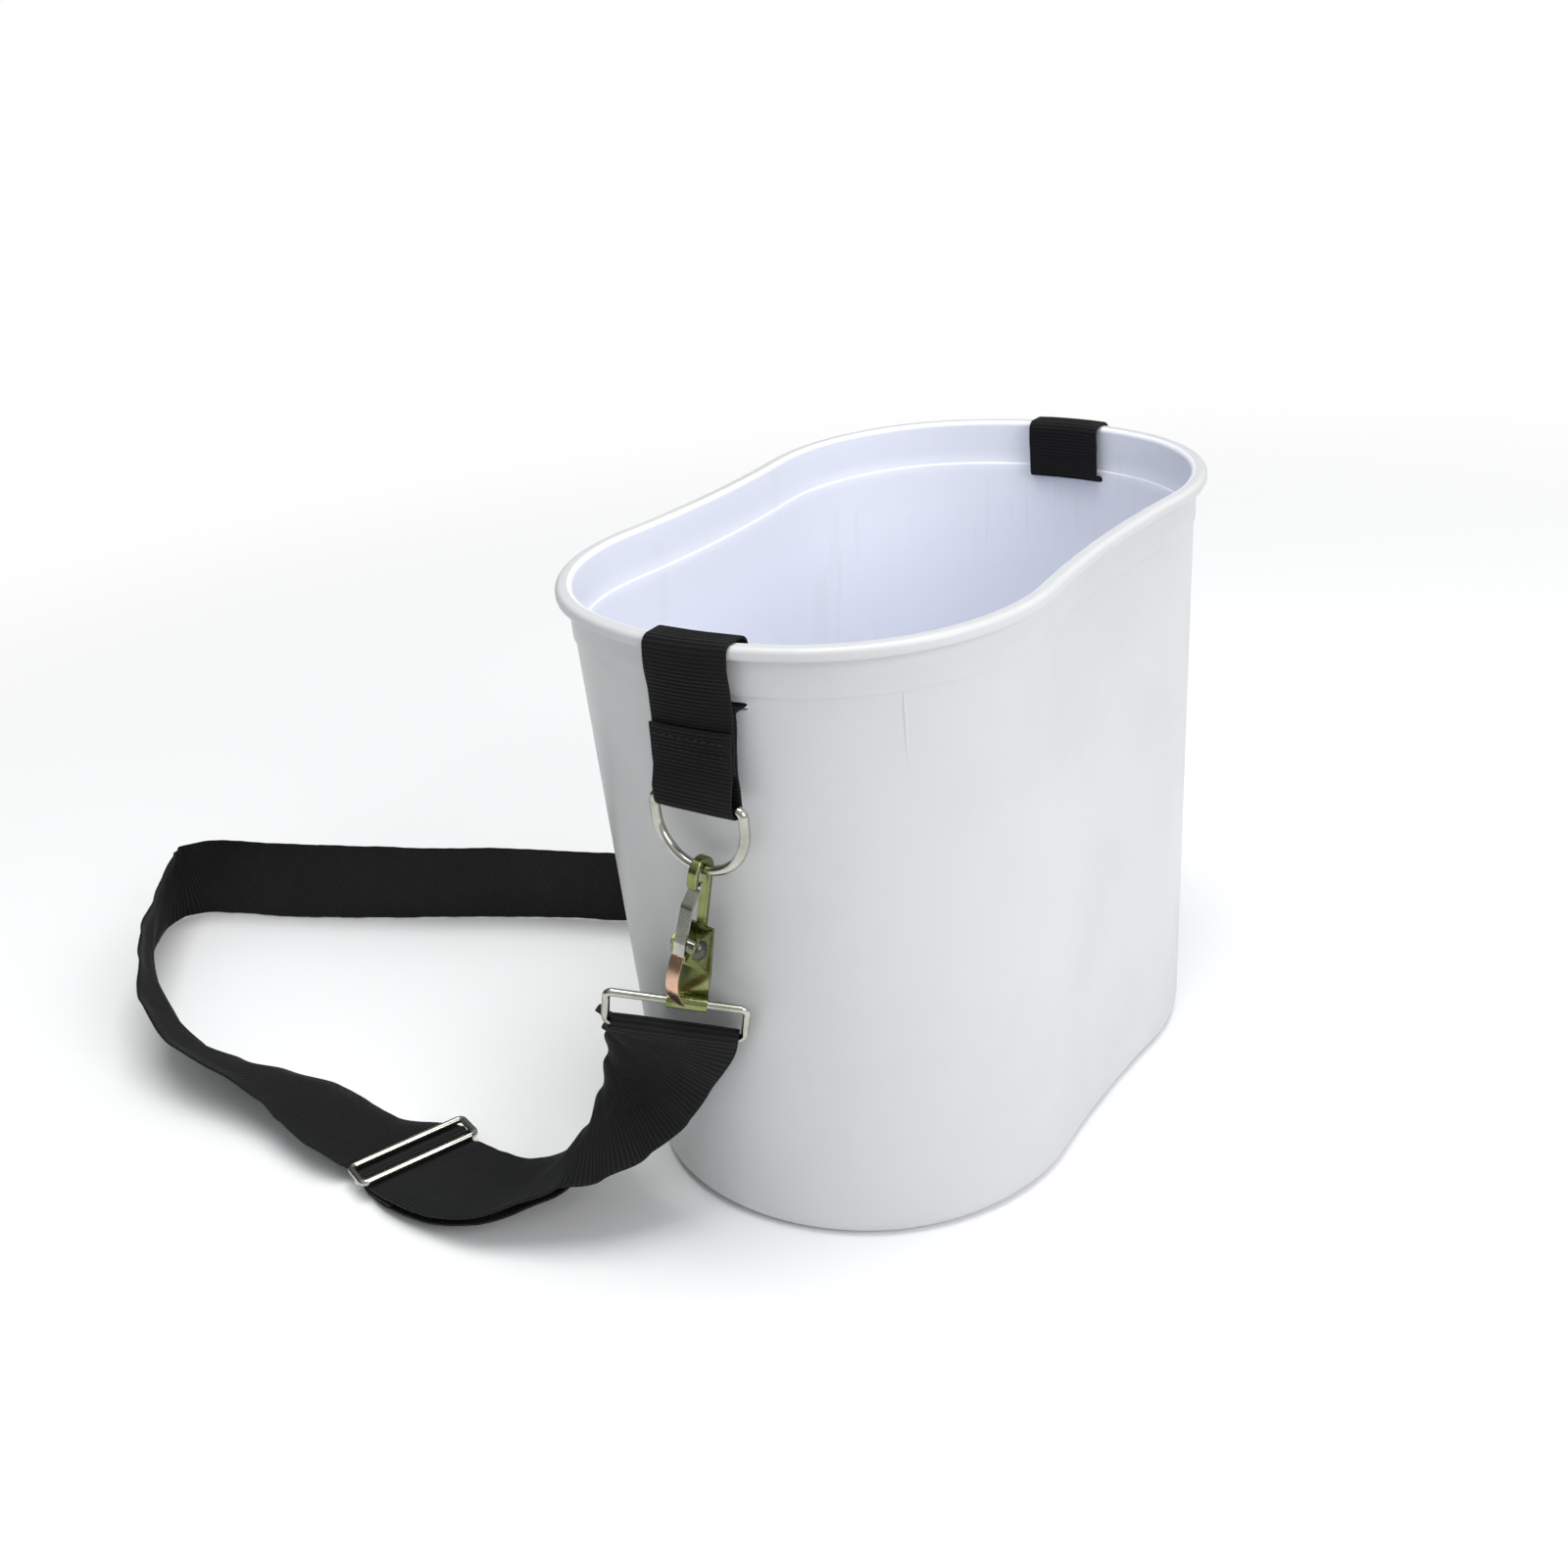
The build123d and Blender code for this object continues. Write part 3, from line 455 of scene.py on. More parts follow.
def strapSections():
    setup = strapSetup
    steps = setup["steps"]
    ringFold = hookSetup["ringWire"] + 1.5 * setup["gap"] + setup["half"]
    barFold = setup["barWire"] + setup["gap"] + setup["half"]
    sliderLong = rotatedFlat(Vector((1, 0, 0)), setup["sliderTurn"])
    travel = rotatedFlat(Vector((1, 0, 0)), setup["sliderTurn"] - 90)
    middle = Vector((setup["sliderX"], setup["sliderY"], 0))
    lowZ = setup["barZ"] - barFold
    humpZ = setup["barZ"] + barFold + 2 * setup["half"] + 2 * setup["gap"]
    underZ = setup["sliderZ"] - setup["sliderWire"] - setup["underGap"] - setup["half"]

    nearOrigin, nearX, nearY, nearUp = wrapFrame(-1)
    ringRun = foldRound(ringLow(-1), -nearX, -nearY, nearUp, ringFold,
                        180 - setup["foldTurn"], -setup["foldTurn"], 30)
    middles = [middle + upZ * humpZ, middle + travel * setup["sliderHalf"] + upZ * underZ]
    acrosses = [sliderLong, sliderLong]
    for x, y, z, azimuth, rise in frontStations:
        middles.append(Vector((x, y, z)))
        acrosses.append(pointing(azimuth, rise))
    middles.append(ringRun[-1][0])
    acrosses.append(-nearX)
    frontUp = smoothRun(middles, acrosses, travel, -ringRun[-1][2], steps)

    guide = [squared(middle + upZ * humpZ, sliderLong, travel)]
    for place in range(1, len(middles)):
        guide.append(frontUp[steps * place])
    gaps = [lowZ - humpZ, lowZ - underZ] + backGaps
    backMiddles = []
    for section, gap, shift in zip(guide, gaps, backShifts):
        place, across, along = section
        backMiddles.append(place + along.cross(across) * gap + across * shift)
    backAcrosses = [section[1] for section in guide[:len(backMiddles)]]
    backMiddles.append(ringRun[0][0])
    backAcrosses.append(-nearX)
    backUp = smoothRun(backMiddles, backAcrosses, travel, ringRun[0][2], steps)

    barRun = foldRound(middle + upZ * setup["barZ"], sliderLong, travel, upZ, barFold, 65, 270, 24)
    tail = []
    for distance in (7.0, 14.0, 21.0):
        place, across, along = sectionAt(backUp, distance)
        tail.insert(0, (place + along.cross(across) * 1.75, across))
    tail.append((barRun[0][0], sliderLong))
    tailMiddles = [place for place, across in tail]
    tailRun = smoothRun(tailMiddles, [across for place, across in tail],
                        tailMiddles[1] - tailMiddles[0], barRun[0][2], steps)

    edges = [Vector((x, y, 0)) for x, y, lean in floorStations]
    floorMiddles = [middle + upZ * humpZ, middle - travel * setup["sliderHalf"] + upZ * underZ]
    floorAcrosses = [sliderLong, sliderLong]
    for index, (x, y, leanDegrees) in enumerate(floorStations):
        before = edges[index - 1] if index > 0 else middle + sliderLong * setup["halfWidth"]
        after = edges[index + 1] if index + 1 < len(edges) else Vector((*farStations[0][:2], 0))
        run = (after - before).normalized()
        inward = Vector((run.y, -run.x, 0))
        lean = math.radians(leanDegrees)
        across = inward * (-math.cos(lean)) - upZ * math.sin(lean)
        floorAcrosses.append(across)
        floorMiddles.append(edges[index] + upZ * 1.0 - across * setup["halfWidth"])
    for x, y, z, azimuth, rise in farStations:
        floorMiddles.append(Vector((x, y, z)))
        floorAcrosses.append(pointing(azimuth, rise))
    farOrigin, farX, farY, farUp = wrapFrame(1)
    farRing = foldRound(ringLow(1), farX, -farY, farUp, ringFold,
                        -setup["foldTurn"], 180 - setup["foldTurn"], 30)
    floorMiddles.append(farRing[0][0])
    floorAcrosses.append(farX)
    floorRun = smoothRun(floorMiddles, floorAcrosses, -travel, farRing[0][2], steps)

    half = steps // 2
    farGuide = [floorRun[-1 - half], floorRun[-1 - 2 * half], floorRun[-1 - 3 * half]]
    normal = floorRun[-1][2].cross(floorRun[-1][1])
    sign = 1 if (farRing[-1][0] - farRing[0][0]).dot(normal) > 0 else -1
    tailMiddles = [farRing[-1][0]]
    tailAcrosses = [farRing[-1][1]]
    for place, across, along in farGuide:
        tailMiddles.append(place + along.cross(across) * (2.0 * sign))
        tailAcrosses.append(across)
    farTail = smoothRun(tailMiddles, tailAcrosses, farRing[-1][2], tailMiddles[-1] - tailMiddles[-2], steps)

    near = tailRun + barRun[1:] + backUp[1:] + ringRun[1:] + turnedBack(frontUp)[1:]
    split = steps * 17
    return {
        "near": near + floorRun[1:steps + 1],
        "floor": floorRun[steps:split + 1],
        "far": floorRun[split:] + farRing[1:] + farTail[1:],
        "tail": tailRun, "farTail": farTail, "travel": travel, "middle": middle,
        "nearRing": ringLow(-1), "farRing": ringLow(1), "farOut": farY,
    }


def sectionAt(sections, distance):
    walked = 0.0
    for first, second in zip(sections, sections[1:]):
        step = (second[0] - first[0]).length
        if walked + step >= distance:
            share = (distance - walked) / step
            return squared(first[0].lerp(second[0], share), first[1].lerp(second[1], share),
                           first[2].lerp(second[2], share))
        walked += step
    return sections[-1]


def resampled(sections, spacing):
    # Even steps along the middle line, so that the ribs keep their pitch
    middles = np.array([list(section[0]) for section in sections])
    acrosses = np.array([list(section[1]) for section in sections])
    alongs = np.array([list(section[2]) for section in sections])
    steps = np.linalg.norm(np.diff(middles, axis=0), axis=1)
    lengths = np.concatenate([[0.0], np.cumsum(steps)])
    count = max(2, int(round(lengths[-1] / spacing)) + 1)
    places = np.linspace(0.0, lengths[-1], count)
    found = []
    for table in (middles, acrosses, alongs):
        found.append(np.stack([np.interp(places, lengths, table[:, axis]) for axis in range(3)], axis=1))
    found[1] /= np.linalg.norm(found[1], axis=1)[:, None]
    return found[0], found[1], found[2], places


# Where the columns of a webbing stand, from edge to edge, and how thick each is
columnShares = [-1.0, -0.985, -0.93, -0.6, -0.2, 0.2, 0.6, 0.93, 0.985, 1.0]
columnWeights = [0.35, 0.8, 1.0, 1.0, 1.0, 1.0, 1.0, 1.0, 0.8, 0.35]


def makeRibbon(name, sections, width, thickness, rib, material, startLength=0.0):
    rowsPerRib = 4
    middles, acrosses, alongs, lengths = resampled(sections, rib / rowsPerRib / mm)
    columns = len(columnShares)
    rows = len(lengths)
    deselect()
    bpy.ops.mesh.primitive_grid_add(x_subdivisions=columns - 1, y_subdivisions=rows - 1, size=2.0)
    ribbon = bpy.context.object
    ribbon.name = name
    mesh = ribbon.data
    places = np.zeros(len(mesh.vertices) * 3)
    mesh.vertices.foreach_get("co", places)
    places = places.reshape(-1, 3)
    column = np.rint((places[:, 0] + 1) / 2 * (columns - 1)).astype(int)
    row = np.rint((places[:, 1] + 1) / 2 * (rows - 1)).astype(int)
    share = np.array(columnShares)[column]
    wander = 1 + 0.004 * np.sin(lengths[row] * 0.21) + 0.003 * np.sin(lengths[row] * 0.57 + 1.3)
    moved = middles[row] + acrosses[row] * (share * wander * width / mm / 2)[:, None]
    mesh.vertices.foreach_set("co", (moved * mm).astype(np.float32).ravel())
    corner = np.zeros(len(mesh.loops), np.int32)
    mesh.loops.foreach_get("vertex_index", corner)
    across = (share[corner] + 1) / 2 * width
    along = lengths[row[corner]] * mm + startLength
    mesh.uv_layers.active.data.foreach_set("uv", np.stack([across, along], axis=1).astype(np.float32).ravel())
    group = ribbon.vertex_groups.new(name="ribs")
    for phase in range(rowsPerRib):
        crest = 0.5 + 0.5 * math.cos(math.tau * phase / rowsPerRib)
        for place in range(columns):
            chosen = np.nonzero((row % rowsPerRib == phase) & (column == place))[0]
            selvedge = abs(columnShares[place]) > 0.9
            weight = columnWeights[place] * (0.7 if selvedge else 0.35 + 0.65 * crest)
            group.add([int(index) for index in chosen], weight, "REPLACE")
    wall = ribbon.modifiers.new("wall", "SOLIDIFY")
    wall.thickness = thickness
    wall.offset = 0.0
    wall.vertex_group = "ribs"
    wall.thickness_vertex_group = 0.35
    applyModifiers(ribbon)
    bpy.ops.object.mode_set(mode="EDIT")
    bpy.ops.mesh.select_all(action="SELECT")
    bpy.ops.mesh.normals_make_consistent(inside=False)
    bpy.ops.object.mode_set(mode="OBJECT")
    bpy.ops.object.shade_smooth_by_angle(angle=math.radians(62))
    mesh.materials.clear()
    mesh.materials.append(material)
    return ribbon, lengths[-1] * mm


def cutPiece(source, name, origin, direction, low, high):
    # A copy of the piece between two planes square to the direction
    deselect()
    piece = source.copy()
    piece.data = source.data.copy()
    piece.name = name
    bpy.context.collection.objects.link(piece)
    pick(piece)
    bpy.ops.object.mode_set(mode="EDIT")
    for distance, inner in ((low, True), (high, False)):
        if distance is None:
            continue
        bpy.ops.mesh.select_all(action="SELECT")
        bpy.ops.mesh.bisect(plane_co=origin + direction * distance, plane_no=direction, use_fill=True,
                            clear_inner=inner, clear_outer=not inner)
    bpy.ops.object.mode_set(mode="OBJECT")
    bpy.ops.object.shade_smooth_by_angle(angle=math.radians(62))
    return piece



# The shoulder strap, cut where it crosses the joints
strap = strapSections()
webWidth = webbingLook["width"]
webThickness = webbingLook["thickness"]
webRib = webbingLook["rib"]
sliderPlace = strap["middle"] * mm
travel = strap["travel"]


def zonePieces(source, prefix, origin, direction, cuts, chain):
    # Each entry of the chain is one body to ride on, or two that the piece lies between; a piece between two is left
    # unattached with its place baked in
    for index, bodies in enumerate(chain):
        low = cuts[index - 1] if index > 0 else None
        high = cuts[index] if index < len(cuts) else None
        piece = cutPiece(source, prefix + str(index + 1), origin, direction, low, high)
        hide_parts("shoulder_strap")
        if len(bodies) == 1:
            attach(piece, bodies[0])
        else:
            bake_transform(piece)
    bpy.data.objects.remove(source)


nearRibbon, nearLength = makeRibbon("nearRibbon", strap["near"], webWidth, webThickness, webRib, webbing)
floorRibbon, floorLength = makeRibbon("floorRibbon", strap["floor"], webWidth, webThickness, webRib, webbing,
                                      nearLength)
farRibbon, farLength = makeRibbon("farRibbon", strap["far"], webWidth, webThickness, webRib, webbing,
                                  nearLength + floorLength)
print("strap", round(nearLength + floorLength + farLength, 3))

nearStart = sliderPlace + upZ * 0.009
nearEnd = strap["nearRing"] * mm
nearWay = (nearEnd - Vector((-0.110, -0.192, 0.012))).normalized()
nearCuts = [0.022, 0.052, 0.084, 0.116, 0.150]
zonePieces(nearRibbon, "strapNear", nearStart, nearWay, nearCuts, [
    ("slider",), ("slider", "bucket"), ("bucket", "near_d_ring"), ("near_d_ring", "near_hook"),
    ("near_hook", "near_base_ring"), ("near_base_ring",)])
floorWay = -travel
zonePieces(floorRibbon, "strapFloor", sliderPlace, floorWay, [0.012, 0.050],
           [("slider",), ("slider", "bucket"), ("bucket",)])
farStart = Vector((-0.110, 0.134, 0.031))
farEnd = strap["farRing"] * mm
farWay = (farEnd - farStart).normalized()
zonePieces(farRibbon, "strapFar", farStart, farWay, [0.020, 0.048, 0.078, 0.108], [
    ("bucket",), ("bucket", "far_d_ring"), ("far_d_ring", "far_hook"),
    ("far_hook", "far_base_ring"), ("far_base_ring",)])
print("strap pieces cut")


# Loops over the lip, the outer layer follows the lip's curve and flattens towards the ring
loopSetup = {
    "x": 6.5, "width": 35.0, "thickness": 1.4, "outer": 155.9, "top": 261.0, "inner": 143.1, "slot": 236.0,
    "back": 154.2, "front": 157.6, "seamLow": 213.0, "seamHigh": 229.0, "ringY": 157.0, "ringZ": 200.0,
    "ringWire": 2.0, "gap": 0.3, "lipRadius": 126.0, "rib": 1.5,
}


def filletedLine(points, radii, turnStep=12.0):
    # Straight runs with an arc at each corner
    line = [Vector(points[0])]
    for index in range(1, len(points) - 1):
        corner = Vector(points[index])
        before = (Vector(points[index - 1]) - corner).normalized()
        after = (Vector(points[index + 1]) - corner).normalized()
        angle = before.angle(after)
        radius = radii[index - 1]
        reach = radius / math.tan(angle / 2)
        start = corner + before * reach
        centre = corner + (before + after).normalized() * (radius / math.sin(angle / 2))
        turn = math.pi - angle
        count = max(2, int(math.degrees(turn) / turnStep) + 1)
        first = start - centre
        last = corner + after * reach - centre
        for step in range(count + 1):
            share = step / count
            weightA = math.sin((1 - share) * turn) / math.sin(turn)
            weightB = math.sin(share * turn) / math.sin(turn)
            line.append(centre + first * weightA + last * weightB)
    line.append(Vector(points[-1]))
    return line


def loopSections(side):
    setup = loopSetup
    half = setup["thickness"] / 2
    wrap = setup["ringWire"] + setup["gap"] + half
    low = setup["ringZ"] - wrap
    ringY = setup["ringY"]
    points = [
        (setup["outer"], setup["seamLow"]), (setup["outer"], setup["top"]), (setup["inner"], setup["top"]),
        (setup["inner"], setup["slot"]), (setup["back"], setup["slot"]), (setup["back"], setup["seamLow"]),
        (ringY - wrap, setup["ringZ"] + 5), (ringY - wrap, low), (ringY + wrap, low),
        (ringY + wrap, setup["ringZ"] + 5), (setup["front"], setup["seamLow"]),
        (setup["front"], setup["seamHigh"]),
    ]
    radii = [3.5, 3.5, 1.2, 1.2, 4.0, 4.0, wrap - 0.02, wrap - 0.02, 4.0, 4.0]
    line = filletedLine(points, radii)
    sections = []
    for index, place in enumerate(line):
        before = line[max(index - 1, 0)]
        after = line[min(index + 1, len(line) - 1)]
        along = (after - before).normalized()
        sections.append((Vector((setup["x"], side * place.x, place.y)), Vector((-side, 0, 0)),
                         Vector((0, side * along.x, along.y))))
    return sections


def bendToLip(obj, side):
    setup = loopSetup
    mesh = obj.data
    places = np.zeros(len(mesh.vertices) * 3)
    mesh.vertices.foreach_get("co", places)
    places = places.reshape(-1, 3)
    height = np.clip((places[:, 2] / mm - setup["seamLow"]) / (setup["slot"] - setup["seamLow"]), 0, 1)
    height = height * height * (3 - 2 * height)
    drop = (places[:, 0] / mm) ** 2 / (2 * setup["lipRadius"]) * height
    places[:, 1] -= side * drop * mm
    bulge = np.exp(-((places[:, 2] / mm - 251.0) / 7.0) ** 2) * (np.abs(places[:, 1]) > 0.150)
    places[:, 1] += side * bulge * 0.9 * mm
    mesh.vertices.foreach_set("co", places.astype(np.float32).ravel())
    mesh.update()


def makeLoop(side, end):
    setup = loopSetup
    loop, length = makeRibbon(end + "LoopWebbing", loopSections(side), setup["width"] * mm,
                              setup["thickness"] * mm, setup["rib"] * mm, loopWebbing)
    bendToLip(loop, side)
    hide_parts(end + "_loop")
    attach(loop, "bucket")
    print(end, "loop length", round(length, 4))


makeLoop(-1, "near")
makeLoop(1, "far")


# Sewn threads: one stitch is modelled, the rest are copies
stitchSetup = {"length": 2.5 * mm, "width": 0.55 * mm, "height": 0.5 * mm, "pitch": 4.2 * mm, "count": 11,
               "loopPitch": 3.6 * mm, "loopCount": 9}


def makeStitch(name):
    deselect()
    bpy.ops.mesh.primitive_uv_sphere_add(segments=8, ring_count=8, radius=0.5)
    stitch = bpy.context.object
    stitch.name = name
    bpy.ops.object.mode_set(mode="EDIT")
    bpy.ops.mesh.select_all(action="SELECT")
    bpy.ops.transform.rotate(value=math.pi / 2, orient_axis="Y", center_override=(0, 0, 0))
    bpy.ops.transform.resize(value=(stitchSetup["length"], stitchSetup["width"], stitchSetup["height"]))
    bpy.ops.object.mode_set(mode="OBJECT")
    bpy.ops.object.shade_smooth()
    stitch.data.materials.append(threadBlack)
    return stitch


def stitchRows(name, rows, count, pitch, nodes, body):
    # Each row is its middle, the way it runs and the way out of the cloth, in metres
    pattern = makeStitch(name + "Pattern")
    copies = []
    for middle, across, out in rows:
        third = out.cross(across).normalized()
        for index in range(count):
            stitch = pattern.copy()
            stitch.data = pattern.data.copy()
            bpy.context.collection.objects.link(stitch)
            lean = across * math.cos(0.09) + third * math.sin(0.09) * (1 if index % 2 else -1)
            side = out.cross(lean).normalized()
            turn = Matrix((lean, side, out)).transposed().to_4x4()
            turn.translation = middle + across * ((index - (count - 1) / 2) * pitch)
            stitch.matrix_world = turn
            copies.append(stitch)
    bpy.data.objects.remove(pattern)
    seam = joinPieces(copies, name)
    applyPlace(seam)
    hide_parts(nodes)
    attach(seam, body)
    return seam


for side, end in ((-1, "near"), (1, "far")):
    setup = loopSetup
    face = side * (setup["front"] + setup["thickness"] / 2) * mm
    rows = []
    for rise in (2.5, 7.5, 12.5):
        rows.append((Vector((setup["x"] * mm, face, (setup["seamLow"] + rise) * mm)), Vector((1, 0, 0)),
                     Vector((0, side, 0))))
    stitchRows(end + "LoopThread", rows, stitchSetup["loopCount"], stitchSetup["loopPitch"],
               end + "_loop_stitching", "bucket")

tailRows = []
for distance in (7.0, 14.0):
    place, across, along = sectionAt(strap["tail"], distance)
    out = across.cross(along).normalized()
    tailRows.append((place * mm + out * (webThickness / 2), across, out))
stitchRows("strapSliderThread", tailRows, stitchSetup["count"], stitchSetup["pitch"],
           "strap_slider_stitching", "slider")
farRows = []
half = strapSetup["steps"]
for index in (-1 - half, -1 - 2 * half, -1 - 3 * half):
    place, across, along = strap["farTail"][index]
    out = strap["farOut"] - along * strap["farOut"].dot(along) - across * strap["farOut"].dot(across)
    out = out.normalized()
    farRows.append((place * mm + out * (webThickness / 2), across, out))
stitchRows("strapFarThread", farRows, stitchSetup["count"], stitchSetup["pitch"],
           "strap_far_stitching", "far_base_ring")
print("threads sewn")


# The moulded bucket: rings of one outline, from the bottom up the outside and down the inside
bucketSetup = {
    "height": 260.0, "lipHalfLength": 154.4, "lipHalfWidth": 101.4, "lipWaistDepth": 3.8,
    "lipCornerReach": 88.4, "lipCornerRadius": 85.0, "baseHalfLength": 143.2, "baseHalfWidth": 94.4,
    "baseWaistDepth": 2.0, "baseCornerReach": 90.9, "baseCornerRadius": 90.0, "overhang": 5.4,
    "wall": 2.2, "floor": 2.8, "collar": 240.0, "step": 0.8, "lipThickness": 5.0, "bottomRound": 7.0,
    "insideRound": 5.0, "endCount": 40, "cornerCount": 24, "waistCount": 40,
}


def arcPoints(centreX, centreY, radius, start, end, count):
    found = []
    for step in range(count):
        angle = start + (end - start) * step / count
        found.append((centreX + radius * math.cos(angle), centreY + radius * math.sin(angle)))
    return found


def outlinePoints(halfLength, halfWidth, waistDepth, reach, radius, setup):
    # The same eight arcs as the CAD outline, starting at the +Y end and going round through +X
    side = halfWidth - radius
    cornerY = halfLength - reach
    endRadius = (side ** 2 + reach ** 2 - radius ** 2) / (2 * (reach - radius))
    hollow = halfWidth - waistDepth - side
    waistRadius = (radius ** 2 - cornerY ** 2 - hollow ** 2) / (2 * (hollow - radius))
    endY = halfLength - endRadius
    endTurn = math.atan2(cornerY - endY, side)
    waistTurn = math.atan2(-cornerY, halfWidth - waistDepth + waistRadius - side)
    waistX = halfWidth - waistDepth + waistRadius
    quarter = arcPoints(0.0, endY, endRadius, math.pi / 2, endTurn, setup["endCount"] // 2)
    quarter += arcPoints(side, cornerY, radius, endTurn, waistTurn, setup["cornerCount"])
    spread = math.pi + waistTurn
    quarter += arcPoints(waistX, 0.0, waistRadius, spread, math.pi, setup["waistCount"] // 2)
    lastOne = (halfWidth - waistDepth, 0.0)
    below = [(x, -y) for x, y in reversed(quarter[1:])]
    right = quarter + [lastOne] + below
    left = [(-x, y) for x, y in reversed(right[1:])]
    return np.array(right + [(0.0, -halfLength)] + left)


def bucketRings(setup):
    # Each ring is its height, its inset and whether it belongs to the lower wall or to the lip
    rings = []
    bottom = setup["bottomRound"]
    for step in range(9):
        angle = math.radians(90 * step / 8)
        rings.append((bottom - bottom * math.cos(angle), bottom - bottom * math.sin(angle), True))
    rings[0] = (0.0, bottom, True)
    for height in np.linspace(bottom + 4, setup["collar"] - 1.0, 26):
        rings.append((float(height), 0.0, True))
    collar = setup["collar"]
    over = setup["overhang"]
    edge = over - setup["step"]
    rings += [(collar - 0.35, over, False), (collar - 0.1, over - 0.1, False), (collar + 0.15, edge + 0.15, False),
              (collar + 0.45, edge, False), (collar + 7, edge, False), (collar + 13.4, edge, False)]
    low = setup["height"] - setup["lipThickness"]
    rings += [(low - 0.7, edge - 0.05, False), (low - 0.15, edge - 0.35, False), (low, edge - 0.9, False)]
    rings.append((low, 1.6, False))
    for step in range(1, 8):
        angle = math.radians(-90 + 90 * step / 7)
        rings.append((low + 1.4 + 1.4 * math.sin(angle), 1.4 - 1.4 * math.cos(angle), False))
    top = setup["height"]
    for step in range(1, 9):
        angle = math.radians(90 * step / 8)
        rings.append((top - 2.3 + 2.3 * math.sin(angle), 2.3 - 2.3 * math.cos(angle), False))
    inner = over + setup["wall"] - setup["step"]
    for step in range(9):
        angle = math.radians(90 - 90 * step / 8)
        rings.append((top - 2.1 + 2.1 * math.sin(angle), inner - 2.1 + 2.1 * math.cos(angle), False))
    rings += [(top - 8, inner, False), (collar + 6, inner, False), (collar + 0.6, inner, False),
              (collar + 0.2, inner + 0.15, False), (collar - 0.1, inner + 0.6, False)]
    rings.append((collar - 0.6, over + setup["wall"], False))
    floor = setup["floor"]
    rounding = setup["insideRound"]
    for height in np.linspace(collar - 4, floor + rounding + 3, 22):
        rings.append((float(height), setup["wall"], True))
    for step in range(9):
        angle = math.radians(90 * step / 8)
        rings.append((floor + rounding - rounding * math.sin(angle),
                      setup["wall"] + rounding - rounding * math.cos(angle), True))
    return rings


def makeBucket(setup):
    rings = bucketRings(setup)
    count = 2 * setup["endCount"] + 4 * setup["cornerCount"] + 2 * setup["waistCount"]
    deselect()
    bpy.ops.mesh.primitive_circle_add(vertices=count, radius=1.0)
    bucket = bpy.context.object
    bucket.name = "bucketShell"
    bpy.ops.object.mode_set(mode="EDIT")
    bpy.ops.mesh.select_all(action="SELECT")
    for ring in rings[1:]:
        bpy.ops.mesh.extrude_edges_move(TRANSFORM_OT_translate={"value": (0, 0, 1)})
    bpy.ops.object.mode_set(mode="OBJECT")
    mesh = bucket.data
    places = np.zeros(len(mesh.vertices) * 3)
    mesh.vertices.foreach_get("co", places)
    places = places.reshape(-1, 3)
    row = np.rint(places[:, 2]).astype(int)
    angle = np.arctan2(places[:, 0], places[:, 1]) % math.tau
    column = np.rint(angle / math.tau * count).astype(int) % count
    moved = np.zeros_like(places)
    topInset = setup["overhang"]
    for index, (height, inset, lower) in enumerate(rings):
        lipInset = inset + (topInset if lower else 0.0)
        lip = outlinePoints(setup["lipHalfLength"] - lipInset, setup["lipHalfWidth"] - lipInset,
                            setup["lipWaistDepth"], setup["lipCornerReach"] - lipInset,
                            setup["lipCornerRadius"] - lipInset, setup)
        if lower:
            base = outlinePoints(setup["baseHalfLength"] - inset, setup["baseHalfWidth"] - inset,
                                 setup["baseWaistDepth"], setup["baseCornerReach"] - inset,
                                 setup["baseCornerRadius"] - inset, setup)
            share = height / setup["collar"]
            outline = base * (1 - share) + lip * share
        else:
            outline = lip
        chosen = row == index
        moved[chosen, :2] = outline[column[chosen]]
        moved[chosen, 2] = height
    mesh.vertices.foreach_set("co", (moved * mm).astype(np.float32).ravel())
    mesh.update()
    pick(bucket)
    bpy.ops.object.mode_set(mode="EDIT")
    bpy.ops.mesh.select_mode(type="EDGE")
    bpy.ops.mesh.select_all(action="DESELECT")
    bpy.ops.mesh.select_non_manifold()
    bpy.ops.mesh.fill_holes(sides=0)
    bpy.ops.mesh.select_all(action="SELECT")
    bpy.ops.mesh.normals_make_consistent(inside=False)
    bpy.ops.object.mode_set(mode="OBJECT")
    return bucket


def cutSlots(bucket):
    deselect()
    bpy.ops.mesh.primitive_cube_add(size=1.0, location=(loopSetup["x"] * mm, 0, loopSetup["slot"] * mm))
    cutter = bpy.context.object
    cutter.scale = (38 * mm, 0.32, 3 * mm)
    applyPlace(cutter)
    round_ = cutter.modifiers.new("round", "BEVEL")
    round_.width = 1.4 * mm
    round_.segments = 4
    round_.limit_method = "ANGLE"
    applyModifiers(cutter)
    hole = bucket.modifiers.new("slots", "BOOLEAN")
    hole.operation = "DIFFERENCE"
    hole.object = cutter
    hole.solver = "EXACT"
    applyModifiers(bucket)
    bpy.data.objects.remove(cutter)


def makeRib():
    # The thin upright rib near the corner, rounded and run out at its foot
    deselect()
    bpy.ops.mesh.primitive_uv_sphere_add(segments=16, ring_count=12, radius=1.0)
    rib = bpy.context.object
    low, high = Vector((71.9, -118.4, 178.0)), Vector((73.7, -120.8, 241.0))
    mesh = rib.data
    for vertex in mesh.vertices:
        x, y, z = vertex.co
        share = 0.03 + 0.97 * (z * 0.5 + 0.5) if z > -0.9 else 0.0
        middle = low.lerp(high, share)
        outward = Vector((0.723, -0.691, 0))
        side = upZ.cross(outward)
        thin = math.sqrt(max(0.0, 1 - z ** 8))
        spread = math.hypot(x, y)
        across, stand = (x / spread, y / spread) if spread > 1e-6 else (0.0, 0.0)
        vertex.co = (middle + side * (across * 1.05 * thin) + outward * (stand * 0.85 * thin)) * mm
    return rib


